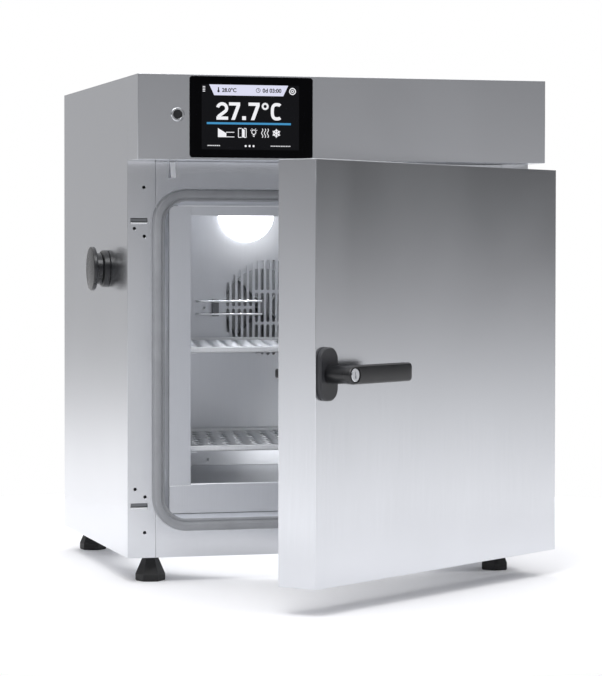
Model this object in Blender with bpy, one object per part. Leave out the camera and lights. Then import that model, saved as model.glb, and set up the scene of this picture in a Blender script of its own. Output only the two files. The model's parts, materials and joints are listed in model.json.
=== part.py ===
"""Bench-top laboratory incubator: a sheet-steel case on four screw feet, an insulated
stainless chamber with a fan behind a slotted baffle, a display header that overhangs the
door, and one door that hangs on two concealed hinges at the right.

Metres, +Z up. The datum is the sole of the front left foot. Most pieces are drawn in case
coordinates, under an empty: x from the case's left side, y from its front plane towards the
rear, z from its underside. The door's pieces are drawn closed, under a second empty that
stands on the hinge axis and carries the opening angle.
"""
import math

import bmesh
import bpy
from mathutils import Matrix, Vector

# Driving dimensions.
CASE_WIDTH = 0.590
CASE_DEPTH = 0.4745
CASE_HEIGHT = 0.669
SHEET = 0.0015
GAP = 0.0003
SIDE_FLANGE = 0.040
REAR_FLANGE = 0.020

HEADER_BOTTOM = 0.5525
HEADER_DEPTH = 0.0693

FOOT_HEIGHT = 0.035
FOOT_INSET_X = 0.039
FOOT_INSET_Y = 0.030
FOOT_BASE_RADIUS = 0.021
FOOT_TURNS_DEG = (19.0, 41.0, 7.0, 52.0)

CHAMBER_LEFT = 0.093
CHAMBER_RIGHT = CASE_WIDTH - CHAMBER_LEFT
CHAMBER_FLOOR = 0.0987
CHAMBER_CEILING = 0.491
CHAMBER_FRONT = 0.012
BAFFLE_Y = 0.352
CHAMBER_REAR = 0.400

THROAT_INSET_X = 0.052
THROAT_BOTTOM = 0.053
THROAT_TOP = 0.497
THROAT_RADIUS = 0.034
FLANGE_INSET_X = 0.0618
FLANGE_BOTTOM = 0.0592
TRIM_CORNER = 0.002

GASKET_INSET_X = 0.0355
GASKET_BOTTOM = 0.0365
GASKET_TOP = 0.5138
GASKET_RADIUS = 0.048
GASKET_BAND = 0.0125
GASKET_LIP = 0.0045
GASKET_HEIGHT = 0.0103

DOOR_LEFT = 0.001
DOOR_RIGHT = 0.589
DOOR_BOTTOM = 0.0005
DOOR_TOP = 0.5435
DOOR_BACK = -0.0107
DOOR_FRONT = -HEADER_DEPTH
HINGE_X = 0.572
HINGE_Y = -0.0217
DOOR_OPEN_DEG = 38.4

HINGE_ARM_HEIGHTS = (0.4702, 0.0733)
HINGE_ARM = 0.004
HINGE_PIN_RADIUS = 0.004

HANDLE_X = 0.0225
HANDLE_Z = 0.272
HANDLE_REACH = 0.0467

FAN_CENTRE = (0.295, 0.341)
SLOT_PITCH = 0.0091
SLOT_WIDTH = 0.0050
SLOT_CIRCLE = 0.0755
SLOT_COLUMNS = 7

SHELF_TOPS = (0.292, 0.1525)
SHELF_LIP = 0.008
SHELF_LEFT = 0.096
SHELF_FRONT = 0.035
SHELF_BACK = 0.345

PORT_Y = 0.140
PORT_Z = 0.402

GLASS_LEFT = 0.0722
GLASS_RIGHT = 0.247
GLASS_BOTTOM = 0.5555
GLASS_TOP = 0.667

# Sides of round pieces, and how far a cutter runs past what it cuts.
ROUND_SEGMENTS = 32
PIN_SEGMENTS = 24
STUD_SEGMENTS = 16
SCREW_SEGMENTS = 12
THROUGH = 0.010
SMOOTH_ANGLE = math.radians(35)


def clear_scene():
    """Removes whatever objects the scene holds."""
    for obj in list(bpy.data.objects):
        bpy.data.objects.remove(obj, do_unlink=True)


def make_material(name, colour, roughness, metallic):
    """A Principled material; the colour is linear red, green, blue."""
    material = bpy.data.materials.new(name)
    material.use_nodes = True
    shader = material.node_tree.nodes["Principled BSDF"]
    shader.inputs["Base Color"].default_value = (*colour, 1.0)
    shader.inputs["Roughness"].default_value = roughness
    shader.inputs["Metallic"].default_value = metallic
    return material


def make_empty(name, location, turn_deg=0.0, parent=None):
    """An empty that carries a frame of reference."""
    empty = bpy.data.objects.new(name, None)
    empty.location = location
    empty.rotation_euler = (0.0, 0.0, math.radians(turn_deg))
    empty.parent = parent
    bpy.context.scene.collection.objects.link(empty)
    return empty


def make_object(name, mesh_data, material, parent, location=(0.0, 0.0, 0.0)):
    """Turns a bmesh into a named object under its parent empty."""
    bmesh.ops.remove_doubles(mesh_data, verts=mesh_data.verts, dist=1e-6)
    bmesh.ops.recalc_face_normals(mesh_data, faces=mesh_data.faces)
    mesh = bpy.data.meshes.new(name)
    mesh_data.to_mesh(mesh)
    mesh_data.free()
    mesh.materials.append(material)
    mesh.shade_smooth()
    mesh.set_sharp_from_angle(angle=SMOOTH_ANGLE)
    obj = bpy.data.objects.new(name, mesh)
    obj.parent = parent
    obj.location = location
    bpy.context.scene.collection.objects.link(obj)
    return obj


def combine(obj, cutter_data, operation="DIFFERENCE"):
    """Cuts a bmesh out of an object, or joins it on, with a live Boolean."""
    name = f"{obj.name}_{operation.lower()}_{len(obj.modifiers)}"
    helper = make_object(name, cutter_data, obj.data.materials[0], obj.parent, obj.location)
    helper.hide_render = True
    helper.display_type = "WIRE"
    boolean = obj.modifiers.new(operation.title(), "BOOLEAN")
    boolean.object = helper
    boolean.operation = operation
    boolean.solver = "EXACT"


def add_box(mesh_data, low, high):
    """Adds an axis-aligned block between two corners."""
    size = Vector(high) - Vector(low)
    centre = (Vector(high) + Vector(low)) / 2
    matrix = Matrix.Translation(centre) @ Matrix.Diagonal((*size, 1.0))
    bmesh.ops.create_cube(mesh_data, size=1.0, matrix=matrix)


def boxes(*corner_pairs):
    """One bmesh with a block for each pair of corners."""
    mesh_data = bmesh.new()
    for low, high in corner_pairs:
        add_box(mesh_data, low, high)
    return mesh_data


def rounded_outline(left, right, bottom, top, radius, steps=6):
    """Corner points of a rectangle with quarter-circle corners, counter-clockwise."""
    centres = ((right, top, 0), (left, top, 1), (left, bottom, 2), (right, bottom, 3))
    points = []
    for x, z, quarter in centres:
        cx = x - radius if x == right else x + radius
        cz = z - radius if z == top else z + radius
        for step in range(steps + 1):
            angle = math.pi / 2 * (quarter + step / steps)
            points.append((cx + radius * math.cos(angle), cz + radius * math.sin(angle)))
    return points


def add_prism(mesh_data, outline, axis, start, end):
    """Extrudes a flat outline along an axis. The outline's two values are the other two axes in order."""
    spread = {"x": lambda a, b, t: (t, a, b), "y": lambda a, b, t: (a, t, b), "z": lambda a, b, t: (a, b, t)}
    place = spread[axis]
    base = [mesh_data.verts.new(place(a, b, start)) for a, b in outline]
    face = mesh_data.faces.new(base)
    grown = bmesh.ops.extrude_face_region(mesh_data, geom=[face])["geom"]
    moved = [item for item in grown if isinstance(item, bmesh.types.BMVert)]
    offset = Vector(place(0.0, 0.0, end - start))
    bmesh.ops.translate(mesh_data, verts=moved, vec=offset)


def prism(outline, axis, start, end):
    """A bmesh with one extruded outline."""
    mesh_data = bmesh.new()
    add_prism(mesh_data, outline, axis, start, end)
    return mesh_data


def circle(centre_a, centre_b, radius, segments=ROUND_SEGMENTS, turn=0.0):
    """Points on a circle."""
    angles = [turn + 2 * math.pi * index / segments for index in range(segments)]
    return [(centre_a + radius * math.cos(a), centre_b + radius * math.sin(a)) for a in angles]


def rings(loops, closed):
    """Bridges equal loops of points. A closed set joins the last loop to the first; an open one is capped."""
    mesh_data = bmesh.new()
    rows = [[mesh_data.verts.new(point) for point in loop] for loop in loops]
    count = len(rows[0])
    pairs = list(zip(rows, rows[1:]))
    if closed:
        pairs.append((rows[-1], rows[0]))
    for first, second in pairs:
        for index in range(count):
            after = (index + 1) % count
            mesh_data.faces.new((first[index], first[after], second[after], second[index]))
    if not closed:
        mesh_data.faces.new(rows[0])
        mesh_data.faces.new(rows[-1])
    return mesh_data


def turned(profile, axis, centre, segments=ROUND_SEGMENTS, closed=False):
    """A lathe-turned piece. The profile lists (radius, place along the axis)."""
    a, b = centre
    spread = {"x": lambda p, t: (t, *p), "y": lambda p, t: (p[0], t, p[1]), "z": lambda p, t: (*p, t)}
    place = spread[axis]
    loops = [[place(p, t) for p in circle(a, b, radius, segments)] for radius, t in profile]
    return rings(loops, closed)


def frame_loops(profile, steps=6):
    """Rounded rectangles in planes of constant y, one for each (left, right, bottom, top, radius, y)."""
    loops = []
    for left, right, bottom, top, radius, y in profile:
        outline = rounded_outline(left, right, bottom, top, radius, steps)
        loops.append([(x, y, z) for x, z in outline])
    return loops


def tube_along(points, radius, segments=12):
    """A round bar along a list of points, each ring square to its neighbours' chord, with flat ends."""
    path = [Vector(point) for point in points]
    loops = []
    side = Vector((0.0, 0.0, 1.0))
    for index, point in enumerate(path):
        ahead = path[min(index + 1, len(path) - 1)]
        behind = path[max(index - 1, 0)]
        along = (ahead - behind).normalized()
        if abs(along.dot(side)) > 0.99:
            side = Vector((0.0, 1.0, 0.0))
        first = along.cross(side).normalized()
        second = along.cross(first)
        ring = circle(0.0, 0.0, radius, segments)
        loops.append([point + first * a + second * b for a, b in ring])
    return rings(loops, closed=False)


clear_scene()

STAINLESS = make_material("satin_stainless_sheet", (0.52, 0.53, 0.55), 0.32, 1.0)
LINER_STEEL = make_material("chamber_stainless_sheet", (0.55, 0.56, 0.58), 0.28, 1.0)
BLACK_GLASS = make_material("black_display_glass", (0.006, 0.006, 0.007), 0.06, 0.0)
GREY_SILICONE = make_material("grey_silicone_seal", (0.09, 0.095, 0.10), 0.6, 0.0)
BLACK_NYLON = make_material("black_moulded_nylon", (0.02, 0.02, 0.022), 0.42, 0.0)
BLACK_RUBBER = make_material("black_rubber", (0.012, 0.012, 0.012), 0.75, 0.0)
GREY_PLUG = make_material("grey_silicone_plug", (0.16, 0.165, 0.17), 0.5, 0.0)
BRIGHT_STEEL = make_material("bright_steel", (0.75, 0.75, 0.76), 0.2, 1.0)
WOOL = make_material("mineral_wool", (0.55, 0.50, 0.38), 0.95, 0.0)
OPAL = make_material("opal_lamp_lens", (0.95, 0.96, 1.0), 0.4, 0.0)
BOARD = make_material("green_circuit_board", (0.02, 0.13, 0.05), 0.5, 0.0)
ALUMINIUM = make_material("cast_aluminium", (0.60, 0.61, 0.62), 0.45, 1.0)
HEATER_STEEL = make_material("heater_sheath_steel", (0.20, 0.18, 0.17), 0.5, 1.0)

case = make_empty("case_frame", (-FOOT_INSET_X, -FOOT_INSET_Y, FOOT_HEIGHT))
door = make_empty("door_hinge_axis", (HINGE_X, HINGE_Y, 0.0), DOOR_OPEN_DEG, case)

# Case: side panels with a front return flange, top, rear, base and the front frame.
INSIDE_LEFT = SHEET + GAP
INSIDE_RIGHT = CASE_WIDTH - SHEET - GAP
INSIDE_REAR = CASE_DEPTH - SHEET - GAP
FLANGE_TOP = HEADER_BOTTOM - GAP
HINGE_SLOT_HALF = 0.003
HINGE_SLOT_X = (0.0045, 0.0285)
HINGE_SCREW_RADIUS = 0.00235
HINGE_SCREW_PLACES = (
    (0.0235, 0.5158),
    (0.0100, 0.4587),
    (0.0241, 0.4479),
    (0.0109, 0.0960),
    (0.0250, 0.0851),
    (0.0244, 0.0353),
)
PORT_HOLE_RADIUS = 0.0185


def side_panel(name, mirrored):
    """A C-shaped sheet: outer side, narrow rear flange, and a wide front flange cut for the hinges."""
    def x(value):
        return CASE_WIDTH - value if mirrored else value

    outline = [(0.0, 0.0), (SIDE_FLANGE, 0.0), (SIDE_FLANGE, SHEET), (SHEET, SHEET)]
    outline += [(SHEET, CASE_DEPTH - SHEET), (REAR_FLANGE, CASE_DEPTH - SHEET)]
    outline += [(REAR_FLANGE, CASE_DEPTH), (0.0, CASE_DEPTH)]
    panel = prism([(x(a), b) for a, b in outline], "z", 0.0, CASE_HEIGHT)
    obj = make_object(name, panel, STAINLESS, case)
    reach = 2 * SHEET
    cuts = [((SHEET, -reach, HEADER_BOTTOM), (SIDE_FLANGE + reach, SHEET + reach, CASE_HEIGHT + reach))]
    for height in HINGE_ARM_HEIGHTS:
        low = (HINGE_SLOT_X[0], -reach, height - HINGE_SLOT_HALF)
        high = (HINGE_SLOT_X[1], SHEET + reach, height + HINGE_SLOT_HALF)
        cuts.append((low, high))
    if mirrored:
        cuts = [((x(high[0]), low[1], low[2]), (x(low[0]), high[1], high[2])) for low, high in cuts]
    cutter = boxes(*cuts)
    for screw_x, screw_z in HINGE_SCREW_PLACES:
        hole = circle(x(screw_x), screw_z, HINGE_SCREW_RADIUS, SCREW_SEGMENTS)
        add_prism(cutter, hole, "y", -reach, SHEET + reach)
    if not mirrored:
        add_prism(cutter, circle(PORT_Y, PORT_Z, PORT_HOLE_RADIUS), "x", -reach, reach)
    combine(obj, cutter)


side_panel("side_panel_left", mirrored=False)
side_panel("side_panel_right", mirrored=True)

top_low = (INSIDE_LEFT, 0.0, CASE_HEIGHT - SHEET)
top_high = (INSIDE_RIGHT, INSIDE_REAR, CASE_HEIGHT)
make_object("top_panel", boxes((top_low, top_high)), STAINLESS, case)

VENT_COUNT = 9
VENT_START_X = 0.100
VENT_PITCH = 0.014
VENT_WIDTH = 0.0045
VENT_LENGTH = 0.060
VENT_Z = 0.600
INLET_X = (0.455, 0.503)
INLET_Z = (0.590, 0.618)
SWITCH_X = (0.512, 0.534)
MOTOR_RADIUS = 0.034

rear_edge = REAR_FLANGE + GAP
rear_low = (rear_edge, CASE_DEPTH - SHEET, GAP)
rear_high = (CASE_WIDTH - rear_edge, CASE_DEPTH, CASE_HEIGHT)
rear_panel = make_object("rear_panel", boxes((rear_low, rear_high)), STAINLESS, case)
rear_cut = boxes(
    ((INLET_X[0], CASE_DEPTH - THROUGH, INLET_Z[0]), (INLET_X[1], CASE_DEPTH + THROUGH, INLET_Z[1])),
    ((SWITCH_X[0], CASE_DEPTH - THROUGH, INLET_Z[0]), (SWITCH_X[1], CASE_DEPTH + THROUGH, INLET_Z[1])),
)
for index in range(VENT_COUNT):
    vent_x = VENT_START_X + VENT_PITCH * index
    vent = rounded_outline(
        vent_x, vent_x + VENT_WIDTH, VENT_Z - VENT_LENGTH / 2, VENT_Z + VENT_LENGTH / 2, VENT_WIDTH / 2, 3
    )
    add_prism(rear_cut, vent, "y", CASE_DEPTH - THROUGH, CASE_DEPTH + THROUGH)
combine(rear_panel, rear_cut)

base_low = (INSIDE_LEFT, INSIDE_LEFT, 0.0)
base_high = (INSIDE_RIGHT, INSIDE_REAR, SHEET)
base_panel = make_object("base_panel", boxes((base_low, base_high)), STAINLESS, case)
foot_places = [
    (FOOT_INSET_X, FOOT_INSET_Y),
    (CASE_WIDTH - FOOT_INSET_X, FOOT_INSET_Y),
    (FOOT_INSET_X, CASE_DEPTH - FOOT_INSET_Y),
    (CASE_WIDTH - FOOT_INSET_X, CASE_DEPTH - FOOT_INSET_Y),
]
STUD_RADIUS = 0.004
STUD_RISE = 0.012
stud_holes = bmesh.new()
for foot_x, foot_y in foot_places:
    hole = circle(foot_x, foot_y, STUD_RADIUS + GAP, STUD_SEGMENTS)
    add_prism(stud_holes, hole, "z", -THROUGH, THROUGH)
combine(base_panel, stud_holes)

frame_edge = SIDE_FLANGE + GAP
frame_low = (frame_edge, 0.0, 0.0)
frame_high = (CASE_WIDTH - frame_edge, SHEET, FLANGE_TOP)
front_frame = make_object("front_frame", boxes((frame_low, frame_high)), STAINLESS, case)
throat_hole = rounded_outline(
    THROAT_INSET_X, CASE_WIDTH - THROAT_INSET_X, THROAT_BOTTOM, THROAT_TOP, THROAT_RADIUS
)
combine(front_frame, prism(throat_hole, "y", -THROUGH, THROUGH))

# Throat trim: a splayed collar from the front frame back to the chamber's flanges.
trim_front = SHEET + GAP
trim_back = CHAMBER_FRONT - GAP


def trim_loop(grow, y, at_front):
    """One edge of the trim, grown outwards from its visible face."""
    if at_front:
        edges = (THROAT_INSET_X, THROAT_BOTTOM, THROAT_TOP, THROAT_RADIUS + grow)
    else:
        edges = (FLANGE_INSET_X, FLANGE_BOTTOM, CHAMBER_CEILING, TRIM_CORNER + grow)
    inset, bottom, top, radius = edges
    left = inset - grow
    right = CASE_WIDTH - inset + grow
    return (left, right, bottom - grow, top + grow, radius, y)


trim_profile = [
    trim_loop(0.0, trim_front, True),
    trim_loop(0.0, trim_back, False),
    trim_loop(SHEET, trim_back, False),
    trim_loop(SHEET, trim_front, True),
]
make_object("throat_trim", rings(frame_loops(trim_profile), closed=True), STAINLESS, case)


# Door gasket: a seal ring with a wide crown and a lower inner lip.
def gasket_loop(inset, y):
    """One line of the seal, at an inset from its outer edge."""
    radius = GASKET_RADIUS - inset
    left = GASKET_INSET_X + inset
    right = CASE_WIDTH - GASKET_INSET_X - inset
    return (left, right, GASKET_BOTTOM + inset, GASKET_TOP - inset, radius, y)


gasket_foot = -GAP
GASKET_SHOULDER = 0.003
gasket_profile = [
    gasket_loop(0.0, gasket_foot),
    gasket_loop(GASKET_SHOULDER / 3, -GASKET_HEIGHT * 0.8),
    gasket_loop(GASKET_SHOULDER, -GASKET_HEIGHT),
    gasket_loop(GASKET_BAND - GASKET_SHOULDER, -GASKET_HEIGHT),
    gasket_loop(GASKET_BAND, -GASKET_HEIGHT * 0.65),
    gasket_loop(GASKET_BAND + GASKET_LIP, -GASKET_HEIGHT * 0.4),
    gasket_loop(GASKET_BAND + GASKET_LIP, gasket_foot),
]
make_object("door_gasket", rings(frame_loops(gasket_profile, 8), closed=True), GREY_SILICONE, case)

# Chamber: folded stainless sheets, each wall with its own front flange.
flange_back = CHAMBER_FRONT + SHEET
wall_low_z = CHAMBER_FLOOR + GAP
wall_high_z = CHAMBER_CEILING - GAP


def chamber_wall(name, mirrored):
    """An L-shaped sheet: the wall, and the flange that faces the door."""
    outline = [(CHAMBER_LEFT, CHAMBER_FRONT), (CHAMBER_LEFT, CHAMBER_REAR)]
    outline += [(CHAMBER_LEFT - SHEET, CHAMBER_REAR), (CHAMBER_LEFT - SHEET, flange_back)]
    outline += [(FLANGE_INSET_X + GAP, flange_back), (FLANGE_INSET_X + GAP, CHAMBER_FRONT)]
    if mirrored:
        outline = [(CASE_WIDTH - a, b) for a, b in outline]
    sheet = prism(outline, "z", wall_low_z, wall_high_z)
    obj = make_object(name, sheet, LINER_STEEL, case)
    if not mirrored:
        hole = circle(PORT_Y, PORT_Z, PORT_HOLE_RADIUS)
        combine(obj, prism(hole, "x", CHAMBER_LEFT - THROUGH, CHAMBER_LEFT + THROUGH))


chamber_wall("chamber_wall_left", mirrored=False)
chamber_wall("chamber_wall_right", mirrored=True)

FLOOR_LIP = 0.003
floor_outline = [(CHAMBER_FRONT, FLANGE_BOTTOM + GAP), (CHAMBER_FRONT, CHAMBER_FLOOR + FLOOR_LIP / 2)]
floor_outline += [(CHAMBER_FRONT + SHEET, CHAMBER_FLOOR + FLOOR_LIP)]
floor_outline += [(CHAMBER_FRONT + 2 * SHEET, CHAMBER_FLOOR)]
floor_outline += [(CHAMBER_REAR, CHAMBER_FLOOR), (CHAMBER_REAR, CHAMBER_FLOOR - SHEET)]
floor_outline += [(flange_back, CHAMBER_FLOOR - SHEET), (flange_back, FLANGE_BOTTOM + GAP)]
floor_left = CHAMBER_LEFT + GAP
floor_sheet = prism(floor_outline, "x", floor_left, CASE_WIDTH - floor_left)
chamber_floor = make_object("chamber_floor", floor_sheet, LINER_STEEL, case)
apron_left = FLANGE_INSET_X + GAP
apron_top = wall_low_z - GAP
apron = boxes(
    ((apron_left, CHAMBER_FRONT, FLANGE_BOTTOM + GAP), (CASE_WIDTH - apron_left, flange_back, apron_top))
)
combine(chamber_floor, apron, "UNION")

CEILING_LIP = 0.0143
ceiling_outline = [(CHAMBER_FRONT, CHAMBER_CEILING + SHEET), (CHAMBER_FRONT, CHAMBER_CEILING - CEILING_LIP)]
ceiling_outline += [(flange_back, CHAMBER_CEILING - CEILING_LIP), (flange_back, CHAMBER_CEILING)]
ceiling_outline += [(CHAMBER_REAR, CHAMBER_CEILING), (CHAMBER_REAR, CHAMBER_CEILING + SHEET)]
ceiling_sheet = prism(ceiling_outline, "x", floor_left, CASE_WIDTH - floor_left)
make_object("chamber_ceiling", ceiling_sheet, LINER_STEEL, case)

rear_wall_low = (CHAMBER_LEFT - SHEET, CHAMBER_REAR + GAP, CHAMBER_FLOOR - SHEET)
rear_wall_high = (CHAMBER_RIGHT + SHEET, CHAMBER_REAR + GAP + SHEET, CHAMBER_CEILING + SHEET)
chamber_rear = make_object("chamber_rear_wall", boxes((rear_wall_low, rear_wall_high)), LINER_STEEL, case)
SHAFT_HOLE_RADIUS = 0.007
shaft_hole = circle(*FAN_CENTRE, SHAFT_HOLE_RADIUS, STUD_SEGMENTS)
combine(chamber_rear, prism(shaft_hole, "y", CHAMBER_REAR - THROUGH, CHAMBER_REAR + THROUGH))

# Air baffle: the visible back wall, punched with a round field of upright slots.
SLOT_BRIDGE = 0.0035
BRIDGE_OFFSET = 0.0245
SLOT_SPLIT_COLUMNS = 2
BAFFLE_SCREW_RADIUS = 0.002
BAFFLE_SCREW_PLACES = ((0.194, 0.341), (0.396, 0.341), (0.200, 0.108), (0.390, 0.108))
baffle_edge = CHAMBER_LEFT + 2 * GAP
baffle_low = (baffle_edge, BAFFLE_Y, CHAMBER_FLOOR + GAP)
baffle_high = (CASE_WIDTH - baffle_edge, BAFFLE_Y + SHEET, CHAMBER_CEILING - GAP)
baffle = make_object("air_baffle", boxes((baffle_low, baffle_high)), LINER_STEEL, case)


def baffle_slots():
    """Upright slots in a circle: inner columns break into three, outer columns into two."""
    cutter = bmesh.new()
    for column in range(-SLOT_COLUMNS, SLOT_COLUMNS + 1):
        x = FAN_CENTRE[0] + column * SLOT_PITCH
        half = math.sqrt(SLOT_CIRCLE ** 2 - (column * SLOT_PITCH) ** 2)
        breaks = (-BRIDGE_OFFSET, BRIDGE_OFFSET) if abs(column) <= SLOT_SPLIT_COLUMNS else (0.0,)
        ends = [-half, *breaks, half]
        for low, high in zip(ends, ends[1:]):
            bottom = FAN_CENTRE[1] + low + SLOT_BRIDGE / 2
            top = FAN_CENTRE[1] + high - SLOT_BRIDGE / 2
            half_width = SLOT_WIDTH / 2
            outline = rounded_outline(x - half_width, x + half_width, bottom, top, half_width - GAP / 4, 2)
            add_prism(cutter, outline, "y", BAFFLE_Y - THROUGH, BAFFLE_Y + THROUGH)
    return cutter


combine(baffle, baffle_slots())
baffle_screws = bmesh.new()
for screw_x, screw_z in BAFFLE_SCREW_PLACES:
    hole = circle(screw_x, screw_z, BAFFLE_SCREW_RADIUS, SCREW_SEGMENTS)
    add_prism(baffle_screws, hole, "y", BAFFLE_Y - THROUGH, BAFFLE_Y + THROUGH)
combine(baffle, baffle_screws)

# Fan: impeller and shaft in front, motor behind the chamber's rear wall.
BLADE_COUNT = 8
IMPELLER_RADIUS = 0.060
IMPELLER_Y = (0.364, 0.384)
HUB_RADIUS = 0.012
BLADE_THICK = 0.0016
SHAFT_RADIUS = 0.004
SHAFT_END = 0.4105
plate_front, plate_back = IMPELLER_Y[1], IMPELLER_Y[1] + SHEET
impeller_profile = [(HUB_RADIUS, IMPELLER_Y[0] - 0.002), (HUB_RADIUS, plate_front)]
impeller_profile += [(IMPELLER_RADIUS, plate_front), (IMPELLER_RADIUS, plate_back)]
impeller_profile += [(SHAFT_RADIUS, plate_back), (SHAFT_RADIUS, SHAFT_END)]
fan_origin = (FAN_CENTRE[0], 0.0, FAN_CENTRE[1])
impeller = make_object(
    "fan_impeller", turned(impeller_profile, "y", (0.0, 0.0)), ALUMINIUM, case, location=fan_origin
)
blades = bmesh.new()
for index in range(BLADE_COUNT):
    blade = bmesh.new()
    blade_low = (HUB_RADIUS - 0.001, IMPELLER_Y[0], -BLADE_THICK / 2)
    blade_high = (IMPELLER_RADIUS - 0.001, plate_front + SHEET / 3, BLADE_THICK / 2)
    add_box(blade, blade_low, blade_high)
    turn = Matrix.Rotation(2 * math.pi * index / BLADE_COUNT, 3, "Y")
    bmesh.ops.rotate(blade, verts=blade.verts, matrix=turn)
    mesh = bpy.data.meshes.new("blade")
    blade.to_mesh(mesh)
    blade.free()
    blades.from_mesh(mesh)
    bpy.data.meshes.remove(mesh)
combine(impeller, blades, "UNION")

MOTOR_FRONT = 0.4113
MOTOR_BACK = 0.456
motor_profile = [(MOTOR_RADIUS * 0.4, MOTOR_FRONT), (MOTOR_RADIUS, MOTOR_FRONT + GAP)]
motor_profile += [(MOTOR_RADIUS, MOTOR_BACK - 0.004), (MOTOR_RADIUS * 0.6, MOTOR_BACK)]
make_object("fan_motor", turned(motor_profile, "y", FAN_CENTRE), ALUMINIUM, case)

HEATER_RADIUS = 0.078
HEATER_TUBE = 0.004
HEATER_Y = 0.376
heater_ring = circle(HEATER_RADIUS, HEATER_Y, HEATER_TUBE, 8)
make_object("ring_heater", turned(heater_ring, "y", FAN_CENTRE, 40, closed=True), HEATER_STEEL, case)

# Air temperature probes: two thin sheaths in front of the baffle, held by one clip.
PROBE_HEIGHTS = {"control_probe": 0.3507, "safety_probe": 0.3310}
PROBE_RADIUS = 0.0017
PROBE_Y = BAFFLE_Y - 0.010
PROBE_X = (0.182, 0.283)
PROBE_BEND = 0.004
BEND_STEPS = 4
CLIP_X = (0.206, 0.2155)
CLIP_MARGIN = 0.003
for probe_name, height in PROBE_HEIGHTS.items():
    route = [(PROBE_X[0], BAFFLE_Y - GAP, height), (PROBE_X[0], PROBE_Y + PROBE_BEND, height)]
    for step in range(1, BEND_STEPS + 1):
        angle = math.pi / 2 * step / BEND_STEPS
        along = PROBE_X[0] + PROBE_BEND * (1 - math.cos(angle))
        route.append((along, PROBE_Y + PROBE_BEND * (1 - math.sin(angle)), height))
    route.append((PROBE_X[1], PROBE_Y, height))
    make_object(probe_name, tube_along(route, PROBE_RADIUS, 10), BRIGHT_STEEL, case)
clip_low = (CLIP_X[0], PROBE_Y + PROBE_RADIUS + GAP, min(PROBE_HEIGHTS.values()) - CLIP_MARGIN)
clip_high = (CLIP_X[1], BAFFLE_Y - GAP, max(PROBE_HEIGHTS.values()) + CLIP_MARGIN)
make_object("probe_clip", boxes((clip_low, clip_high)), BLACK_NYLON, case)

# Lamp: a half-round opal lens high on the baffle.
LAMP_X = 0.260
LAMP_RADIUS = 0.0435
LAMP_TOP = 0.4855
LAMP_DEPTH = 0.008
LAMP_STEPS = 20
lamp_outline = [
    (LAMP_X + LAMP_RADIUS * math.cos(a), LAMP_TOP + LAMP_RADIUS * math.sin(a))
    for a in (math.pi * (1 + index / LAMP_STEPS) for index in range(LAMP_STEPS + 1))
]
lamp_back = BAFFLE_Y - GAP
make_object("lamp_lens", prism(lamp_outline, "y", lamp_back - LAMP_DEPTH, lamp_back), OPAL, case)

# Shelves and the guides they slide on.
GUIDE_LEG = 0.014
GUIDE_RISE = 0.012
GUIDE_FRONT = 0.030
GUIDE_BACK = 0.346
SHELF_NAMES = ("shelf_upper", "shelf_lower")
REAR_UPSTAND = 0.0035
for shelf_name, top in zip(SHELF_NAMES, SHELF_TOPS):
    bottom = top - SHELF_LIP
    shelf_right = CASE_WIDTH - SHELF_LEFT
    tray = boxes(((SHELF_LEFT, SHELF_FRONT, bottom), (shelf_right, SHELF_BACK, top)))
    shelf = make_object(shelf_name, tray, LINER_STEEL, case)
    under = boxes(
        (
            (SHELF_LEFT + SHEET, SHELF_FRONT + SHEET, bottom - THROUGH),
            (shelf_right - SHEET, SHELF_BACK - SHEET, top - SHEET),
        )
    )
    combine(shelf, under)
    upstand = boxes(
        ((SHELF_LEFT, SHELF_BACK - SHEET, top - SHEET), (shelf_right, SHELF_BACK, top + REAR_UPSTAND))
    )
    combine(shelf, upstand, "UNION")
    rail_top = bottom - GAP
    outline = [(CHAMBER_LEFT + GAP, rail_top - SHEET), (CHAMBER_LEFT + GUIDE_LEG, rail_top - SHEET)]
    outline += [(CHAMBER_LEFT + GUIDE_LEG, rail_top), (CHAMBER_LEFT + GAP + SHEET, rail_top)]
    outline += [(CHAMBER_LEFT + GAP + SHEET, rail_top + GUIDE_RISE)]
    outline += [(CHAMBER_LEFT + GAP, rail_top + GUIDE_RISE)]
    for side in ("left", "right"):
        points = outline if side == "left" else [(CASE_WIDTH - a, b) for a, b in outline]
        guide = prism(points, "y", GUIDE_FRONT, GUIDE_BACK)
        make_object(f"{shelf_name}_guide_{side}", guide, LINER_STEEL, case)

# Cable port in the left side, with its pull-out plug.
PORT_BORE = 0.0150
COLLAR_RADIUS = 0.0265
COLLAR_DEPTH = 0.010
COLLAR_EDGE = 0.0025
SLEEVE_RADIUS = PORT_HOLE_RADIUS - GAP
collar_inner = -GAP
port_profile = [(PORT_BORE, -COLLAR_DEPTH), (COLLAR_RADIUS - COLLAR_EDGE, -COLLAR_DEPTH)]
port_profile += [(COLLAR_RADIUS, -COLLAR_DEPTH + COLLAR_EDGE), (COLLAR_RADIUS, collar_inner)]
port_profile += [(SLEEVE_RADIUS, collar_inner), (SLEEVE_RADIUS, CHAMBER_LEFT)]
port_profile += [(PORT_BORE, CHAMBER_LEFT)]
make_object("port_tube", turned(port_profile, "x", (PORT_Y, PORT_Z), closed=True), BLACK_NYLON, case)
PLUG_FACE = -0.025
PLUG_RADIUS = 0.0315
PLUG_RIM = 0.0055
PLUG_NECK = 0.0225
PLUG_END = 0.060
plug_stop = -COLLAR_DEPTH - GAP
plug_profile = [(PLUG_RADIUS - 0.002, PLUG_FACE), (PLUG_RADIUS, PLUG_FACE + 0.0015)]
plug_profile += [(PLUG_RADIUS, PLUG_FACE + PLUG_RIM), (PLUG_RADIUS - 0.001, PLUG_FACE + PLUG_RIM + 0.0007)]
plug_profile += [(PLUG_NECK, PLUG_FACE + PLUG_RIM + 0.001), (PLUG_NECK, plug_stop)]
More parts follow.
